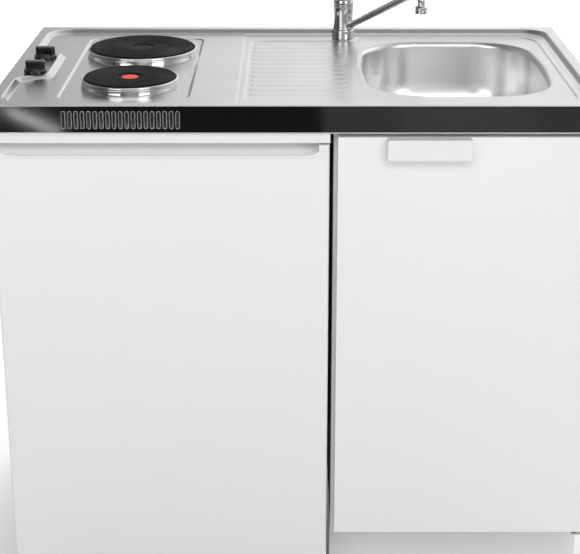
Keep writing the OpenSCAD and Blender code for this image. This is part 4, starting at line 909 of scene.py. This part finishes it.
def modelLever():
    form = leverForm

    def arc(radius, degrees):
        return [(radius * math.sin(math.radians(a)), ballZ + radius * math.cos(math.radians(a)))
                for a in degrees]

    lipX, lipZ = arc(form["cap"], [66])[0]
    shell = lathe("cap", tapX, tapY, arc(form["cap"], range(0, 65, 4)) + [(lipX - 0.3 * mm, lipZ)]
                  + arc(form["cap"] - form["wall"], range(64, -1, -8)), 96, 40)
    # the handle: a flat bar, narrower at its round end, drawn pointing back to front and tipped up
    half, thick = form["width"] / 2, form["thick"]
    end, tip = half - form["taper"], tapY - form["length"]
    root, low = tapY - form["root"], ballZ + form["top"] - thick
    points = [(tapX - half, root), (tapX - end, tip), (tapX + end, tip), (tapX + half, root)]
    handle = drawOutline("handle", points, low, [0, end * 0.97, end * 0.97, 0], 10)
    extrude((0, 0, thick))
    # its root follows the cap's slope, so that it never reaches into the dome
    pick("VERT", lambda v: v.co.z < low + 1e-5 and v.co.y > root - 1e-5)
    bpy.ops.transform.translate(value=(0, -form["slope"], 0))
    pick("EDGE", lambda e: abs(e.verts[0].co.z - e.verts[1].co.z) < 1e-6)
    bpy.ops.mesh.bevel(offset=form["edge"], segments=3, affect="EDGES")
    selectAll()
    bpy.ops.mesh.normals_make_consistent(inside=False)
    bpy.ops.transform.rotate(value=form["tip"], orient_axis="X", center_override=(tapX, tapY, ballZ))
    leaveEdit()
    piece = join([shell, handle], "tapLever")
    smooth(piece, 35)
    return piece


dress(modelLever(), "tap_lever", chrome, "tap_chrome", "tap_lever")
stageDone("tap")

# refrigerator: painted sheet, moulded grip and trim, lined inside

# polyester powder paint on sheet steel: satin, with an orange peel of about 3 mm
paintWhite = lacquered("fridgePaint", "#E9E9E9", 0.29, 0.35, 3 * mm, 0.000008, coat=0.25, coatRough=0.12)
gripPlastic = mouldedPlastic("gripAbs", "#E6E6E6", 0.38, 1.0, 0.00001)


def near(a, b, gap=0.2 * mm):
    return abs(a - b) < gap


def bevelEdges(test, offset, segments=4):
    pick("EDGE", test)
    bpy.ops.mesh.bevel(offset=offset, segments=segments, affect="EDGES")


skinForm = {"sheet": 1 * mm, "roll": 5 * mm}
gripForm = {"gap": 0.3 * mm, "roll": 5 * mm, "scoop": 26 * mm, "deep": 18 * mm, "ends": 45 * mm,
            "edge": 0.8 * mm, "runOut": ((12 * mm, 0.97), (10 * mm, 0.90), (6 * mm, 0.80))}


def modelDoorSkin():
    # the sheet's front corners and lower edge are rolled, inside and out
    low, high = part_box("fridge_door_skin")
    piece = copyNode("fridgeDoorSkin", "fridge_door_skin")
    editPiece(piece)
    for inner in (0, skinForm["sheet"]):
        x0, x1, y0, z0 = low.x + inner, high.x - inner, low.y + inner, low.z + inner
        bevelEdges(lambda e: all(near(v.co.y, y0) for v in e.verts) and
                   (all(near(v.co.x, x0) for v in e.verts) or all(near(v.co.x, x1) for v in e.verts)
                    or all(near(v.co.z, z0) for v in e.verts)), skinForm["roll"] - inner, 5)
    leaveEdit()
    weighted(piece, 40)
    return piece


def modelGrip():
    # a bar along the door's top with a finger scoop that fades out at both ends
    form = gripForm
    low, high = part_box("fridge_door_grip")
    piece = box("grip", low.x, high.x, low.y, high.y, low.z + form["gap"], high.z)
    editPiece(piece)
    bevelEdges(lambda e: all(near(v.co.y, low.y) for v in e.verts) and near(e.verts[0].co.x, e.verts[1].co.x),
               form["roll"], 5)
    leaveEdit()
    clearSelection()
    axisZ = high.z + form["scoop"] - form["deep"]
    bpy.ops.mesh.primitive_cylinder_add(
        vertices=96, radius=form["scoop"], depth=high.x - low.x - 2 * form["ends"], end_fill_type="NGON",
        location=((low.x + high.x) / 2, low.y, axisZ), rotation=(0, math.pi / 2, 0))
    cutter = bpy.context.object
    setOrigin(cutter)
    enterEdit()
    # both ends run out in a long taper
    for side in (-1, 1):
        for step, shrink in form["runOut"]:
            pick("FACE", lambda f: f.normal.x * side > 0.9)
            extrude((side * step, 0, 0))
            bpy.ops.transform.resize(value=(1, shrink, shrink), center_override=(0, low.y, axisZ))
    faceOutward()
    leaveEdit()
    applyModifier(piece, "BOOLEAN", operation="DIFFERENCE", object=cutter, solver="EXACT")
    bpy.data.objects.remove(cutter)
    applyModifier(piece, "BEVEL", width=form["edge"], segments=3, limit_method="ANGLE",
                  angle_limit=math.radians(50))
    weighted(piece, 40)
    return piece


dress(modelDoorSkin(), "fridge_door", paintWhite, "fridge_sheet", "fridge_door_skin")
dress(modelGrip(), "fridge_door", gripPlastic, "trim_white", "fridge_door_grip")
fridgeTrim = soften(copyNode("fridgeTrim", "fridge_trim"), 0.9 * mm, 3)
dress(fridgeTrim, "unit", gripPlastic, "trim_white", "fridge_trim")
stageDone("refrigerator door")

# sink cabinet: coated boards, a plain door and a moulded pull

# chipboard faced with melamine paper, pressed with a fine pearl; the door has a smoother foil
boardWhite = mouldedPlastic("boardMelamine", "#E4E4E3", 0.42, 1.4, 0.00002)
doorWhite = lacquered("doorFoil", "#EAEAEA", 0.31, 0.38, 4 * mm, 0.000008, coat=0.15, coatRough=0.2)
pullPlastic = mouldedPlastic("pullAbs", "#E6E6E6", 0.36, 1.0, 0.00001)


def pieceName(words):
    return words[0] + "".join(word.capitalize() for word in words[1:])


# the boards' eased edges, in mm
boardEdges = {"cabinet_left_side": 0.5, "cabinet_right_side": 0.5, "cabinet_bottom": 0.5, "cabinet_back": 0.4,
              "cabinet_rails": 0.6, "cabinet_plinth": 0.6}
for node, edge in boardEdges.items():
    board = soften(copyNode(pieceName(["board"] + node.split("_")[1:]), node), edge * mm, 2)
    dress(board, "unit", boardWhite, "board_white", node)
cabinetDoor = soften(copyNode("cabinetDoor", "cabinet_door"), 1.2 * mm, 4)
dress(cabinetDoor, "cabinet_door", doorWhite, "door_white", "cabinet_door")

pullForm = {"corner": 3 * mm, "cutBack": 4.6 * mm, "under": 1.6 * mm, "wall": 2.6 * mm, "hollow": 13.4 * mm}


def modelPull():
    # its upper front edge is cut back, the end corners are rounded, and it is open behind
    form = pullForm
    low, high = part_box("cabinet_handle")
    back, corner = high.y, form["corner"]
    piece = drawOutline("pull", boxPoints(low.x, high.x, low.y, back), low.z, [corner, corner, 0, 0], 5)
    extrude((0, 0, high.z - low.z))

    def atHeight(edge, z):
        return all(near(v.co.z, z, 1e-5) for v in edge.verts)

    bevelEdges(lambda e: atHeight(e, high.z) and (all(v.co.y < back - 1 * mm for v in e.verts)
                                                  or near(e.verts[0].co.x, e.verts[1].co.x, 1e-5)),
               form["cutBack"], 3)
    bevelEdges(lambda e: atHeight(e, low.z) and middle(e).y < back - 0.1 * mm, form["under"], 3)
    pick("FACE", lambda f: f.normal.y > 0.99)
    bpy.ops.mesh.inset(thickness=form["wall"], depth=0)
    extrude((0, -form["hollow"], 0))
    faceOutward()
    leaveEdit()
    weighted(piece, 40)
    return piece


dress(modelPull(), "cabinet_door", pullPlastic, "handle_white", "cabinet_handle")
stageDone("cabinet")

# finishes of what shows behind the doors, below and at the back, by their slots

finishes = {
    "fridge_sheet": paintWhite,
    "zinc_steel": platedMetal("zincSteel", "#A9ACB0", "#8F9296", 0.38, 4 * mm),
    "hinge_steel": platedMetal("hingeSteel", "#B9B6B0", "#A8A59F", 0.36, 6 * mm),
    "spindle_steel": brushedSteel("spindleSteel", "#AFAFAD", 0.2, 0.04, (12, 12, 1)),
    "waste_steel": brushedSteel("wasteSteel", "#C4C4C4", 0.16, 0.03, (4, 4, 4)),
    "tap_brass": platedMetal("tapBrass", "#B79A58", "#9F8247", 0.36, 5 * mm),
    "copper_tail": platedMetal("copperTail", "#C07A55", "#9A5D42", 0.36, 9 * mm),
    "regulator_case": mouldedPlastic("steatiteCase", "#D6CFB9", 0.62, 0.8, 0.00005),
    "box_plastic": mouldedPlastic("boxPolyamide", "#E2E2DD", 0.5),
    "black_plastic": mouldedPlastic("blackPolyamide", "#161617", 0.45),
    "foot_plastic": mouldedPlastic("footPolypropylene", "#1D1D1E", 0.5, 1.6),
    "white_pipe": mouldedPlastic("pipePolypropylene", "#E6E6E3", 0.34, 2.0, 0.00001, subsurface=0.05),
    "trim_white": mouldedPlastic("innerTrimAbs", "#E7E7E6", 0.36),
    # vacuum formed polystyrene: glossy, very slightly wavy where the sheet was drawn thin
    "liner_white": mouldedPlastic("linerPolystyrene", "#F0F1F1", 0.20, 18.0, 0.0002),
    # extruded soft vinyl
    "gasket_grey": mouldedPlastic("gasketVinyl", "#C2C3C4", 0.62, 3.0, 0.00002),
    # blown polyurethane: open, crumbly cut cells under a skin
    "foam": mouldedPlastic("polyurethaneFoam", "#E3D6A6", 0.9, 2.2, 0.0006),
    # black baked enamel over a pressed steel shell: orange peel of about 3 mm
    "compressor_black": mouldedPlastic("compressorEnamel", "#141516", 0.34, 3.0, 0.00008),
    # crystal polystyrene, and toughened glass with its green edge
    "clear_plastic": mouldedPlastic("crystalPolystyrene", "#EEF5F6", 0.09, 30.0, 0.0001,
                                    transmission=0.8, ior=1.59),
    "shelf_glass": mouldedPlastic("toughenedGlass", "#E2F0EA", 0.07, 60.0, 0.00005,
                                 transmission=0.92, ior=1.52),
}

# the frame's own solids with their edges eased: body, slot and the edge's radius in mm
# (less than nothing for the foam, which stands back from its skins by so much)
easedNodes = {
    "hotplate_clamps": ("unit", "zinc_steel", 0.4),
    "rear_regulator": ("unit", "regulator_case", 0.8),
    "front_regulator": ("unit", "regulator_case", 0.8),
    "rear_spindle": ("rear_knob", "spindle_steel", 0.2),
    "front_spindle": ("front_knob", "spindle_steel", 0.2),
    "terminal_box": ("unit", "box_plastic", 1.0),
    "mains_gland": ("unit", "black_plastic", 0.5),
    "waste_flange": ("unit", "waste_steel", 0.3),
    "strainer": ("strainer", "waste_steel", 0.3),
    "overflow_grille": ("unit", "waste_steel", 0.2),
    "bottle_trap": ("unit", "white_pipe", 0.8),
    "waste_pipe": ("unit", "white_pipe", 0.4),
    "overflow_pipe": ("unit", "white_pipe", 0.4),
    "tap_core": ("unit", "tap_brass", 0.2),
    "tap_spindle": ("tap_spindle", "spindle_steel", 0.2),
    "tap_nut": ("unit", "tap_brass", 0.5),
    "tap_tails": ("unit", "copper_tail", 0.2),
    "cabinet_feet": ("unit", "foot_plastic", 0.8),
    "cabinet_hinges": ("unit", "hinge_steel", 0.4),
    "fridge_shell": ("unit", "fridge_sheet", 1.5),
    "fridge_foam": ("unit", "foam", -0.7),
    "fridge_liner": ("unit", "liner_white", 2.0),
    "fridge_door_foam": ("fridge_door", "foam", -0.7),
    "fridge_door_liner": ("fridge_door", "liner_white", 2.0),
    "fridge_gasket": ("fridge_door", "gasket_grey", 1.0),
    "fridge_door_racks": ("fridge_door", "clear_plastic", 0.6),
    "fridge_hinges": ("unit", "hinge_steel", 0.4),
    "fridge_shelves": ("unit", "shelf_glass", 0.5),
    "crisper": ("unit", "clear_plastic", 1.0),
    "thermostat_housing": ("unit", "trim_white", 1.5),
    "thermostat_dial": ("thermostat_dial", "trim_white", 0.4),
    "compressor": ("unit", "compressor_black", 1.0),
    "fridge_feet": ("unit", "foot_plastic", 0.6),
}
for node, (body, slotName, radius) in easedNodes.items():
    piece = copyNode(pieceName(node.split("_") + (["piece"] if "_" not in node else [])), node)
    if radius > 0:
        soften(piece, radius * mm, 2, 38)
    else:
        applyModifier(piece, "DISPLACE", strength=radius * mm, mid_level=0.0)
    dress(piece, body, finishes[slotName], slotName, node)
stageDone("the rest, %d pieces" % len(easedNodes))

# floor, lights and camera
stageForm = {"floor": 36.0, "floorY": 1.5, "floorHex": "#F4F4F4", "left": 0.25, "front": 0.36, "back": 1.25,
             "ceiling": 0.85, "lens": 91.6, "shift": -0.12, "pitch": 18.85,
             "cameraPlace": (-0.0146, -2.554, 1.497)}
clearSelection()
bpy.ops.mesh.primitive_plane_add(size=stageForm["floor"], location=(0, stageForm["floorY"], 0))
floor = bpy.context.object
floor.name = "floor"
floor.data.materials.append(newMaterial("floorPaint", stageForm["floorHex"], 0.9)[0])

# the studio: bright behind, softer in front and on the left, as walls lit by large lamps
world = bpy.data.worlds.new("studio")
bpy.context.scene.world = world
world.use_nodes = True
worldTree = world.node_tree
direction = addNode(worldTree, "ShaderNodeTexCoord", (-1100, 0))
axes = addNode(worldTree, "ShaderNodeSeparateXYZ", (-900, 0), {"Vector": direction.outputs["Generated"]})
# along each axis: where the change starts and ends, and the strength before and after it
falloffs = {"X": (-0.30, 0.05, stageForm["left"], 1.0), "Y": (-0.5, 0.5, stageForm["front"], stageForm["back"]),
            "Z": (0.45, 0.85, 1.0, stageForm["ceiling"])}
strength = None
for row, (axis, (start, end, before, after)) in enumerate(falloffs.items()):
    ramp = addNode(worldTree, "ShaderNodeMapRange", (-650, 100 - 250 * row),
                   {"Value": axes.outputs[axis], "From Min": start, "From Max": end, "To Min": before,
                    "To Max": after}, interpolation_type="SMOOTHSTEP").outputs["Result"]
    strength = ramp if row == 0 else addNode(worldTree, "ShaderNodeMath", (-650 + 200 * row, 0),
                                             {0: strength, 1: ramp}, operation="MULTIPLY").outputs["Value"]
worldTree.links.new(strength, worldTree.nodes["Background"].inputs["Strength"])
worldTree.nodes["Background"].inputs["Color"].default_value = (1, 1, 1, 1)


# place, what it points at, size, watts, spread in degrees, and what it lights: all, matt or gloss.
# Two large soft boxes in front with a dark gap between them, one over the sink, one behind for the floor,
# and on the floor behind the camera what the chrome and the gloss strip mirror.
lamps = {
    "leftPanel": ((-1.75, -2.6, 2.0), (0, 0, 0.7), (1.5, 1.5), 19, 180, "all"),
    "rightPanel": ((1.75, -2.6, 2.0), (0, 0, 0.7), (1.5, 1.5), 19, 180, "all"),
    "topPanel": ((0.3, -2.0, 2.5), (0.2, 0, 0.85), (3.0, 1.0), 19, 180, "all"),
    "topFill": ((0.1, -1.5, 3.2), (0, 0.2, 0.5), (2.6, 1.6), 10, 180, "matt"),
    "backPanel": ((0.3, 3.6, 3.6), (0.3, 3.2, 0), (5.0, 3.0), 150, 130, "matt"),
    "tapGleam": ((-2.6, -4.2, 0.01), (-2.6, -4.2, 1), (3.0, 2.5), 45, 180, "gloss"),
    "rightGleam": ((0.66, -3.5, 0.01), (0.66, -3.5, 1), (0.5, 0.9), 5, 180, "gloss"),
    "rightHalo": ((0.66, -3.5, 0.01), (0.66, -3.5, 1), (1.1, 0.9), 8, 180, "gloss"),
    "leftGleam": ((-1.03, -3.45, 0.01), (-1.03, -3.45, 1), (0.55, 0.05), 6, 180, "gloss"),
}
for name, (place, target, size, power, spread, lights) in lamps.items():
    light = bpy.data.lights.new(name, "AREA")
    light.shape = "RECTANGLE"
    light.size, light.size_y = size
    light.energy = power
    light.spread = math.radians(spread)
    lamp = bpy.data.objects.new(name, light)
    lamp.location = place
    lamp.rotation_euler = (Vector(target) - Vector(place)).to_track_quat("-Z", "Y").to_euler()
    lamp.visible_diffuse = lights != "gloss"
    lamp.visible_glossy = lights != "matt"
    bpy.context.scene.collection.objects.link(lamp)
# the narrow gleam lies aslant, so that the left pan's edge mirrors it
bpy.data.objects["leftGleam"].rotation_euler = (math.pi, 0, math.radians(52))

bpy.context.scene.view_settings.view_transform = "Standard"
eye = bpy.data.cameras.new("eye")
camera = bpy.data.objects.new("eye", eye)
bpy.context.scene.collection.objects.link(camera)
bpy.context.scene.camera = camera
camera.location = stageForm["cameraPlace"]
camera.rotation_euler = (math.radians(90 - stageForm["pitch"]), 0, 0)
eye.sensor_width = 36
eye.lens = stageForm["lens"]
eye.shift_y = stageForm["shift"]
eye.dof.use_dof = False

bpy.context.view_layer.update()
stageDone("done")
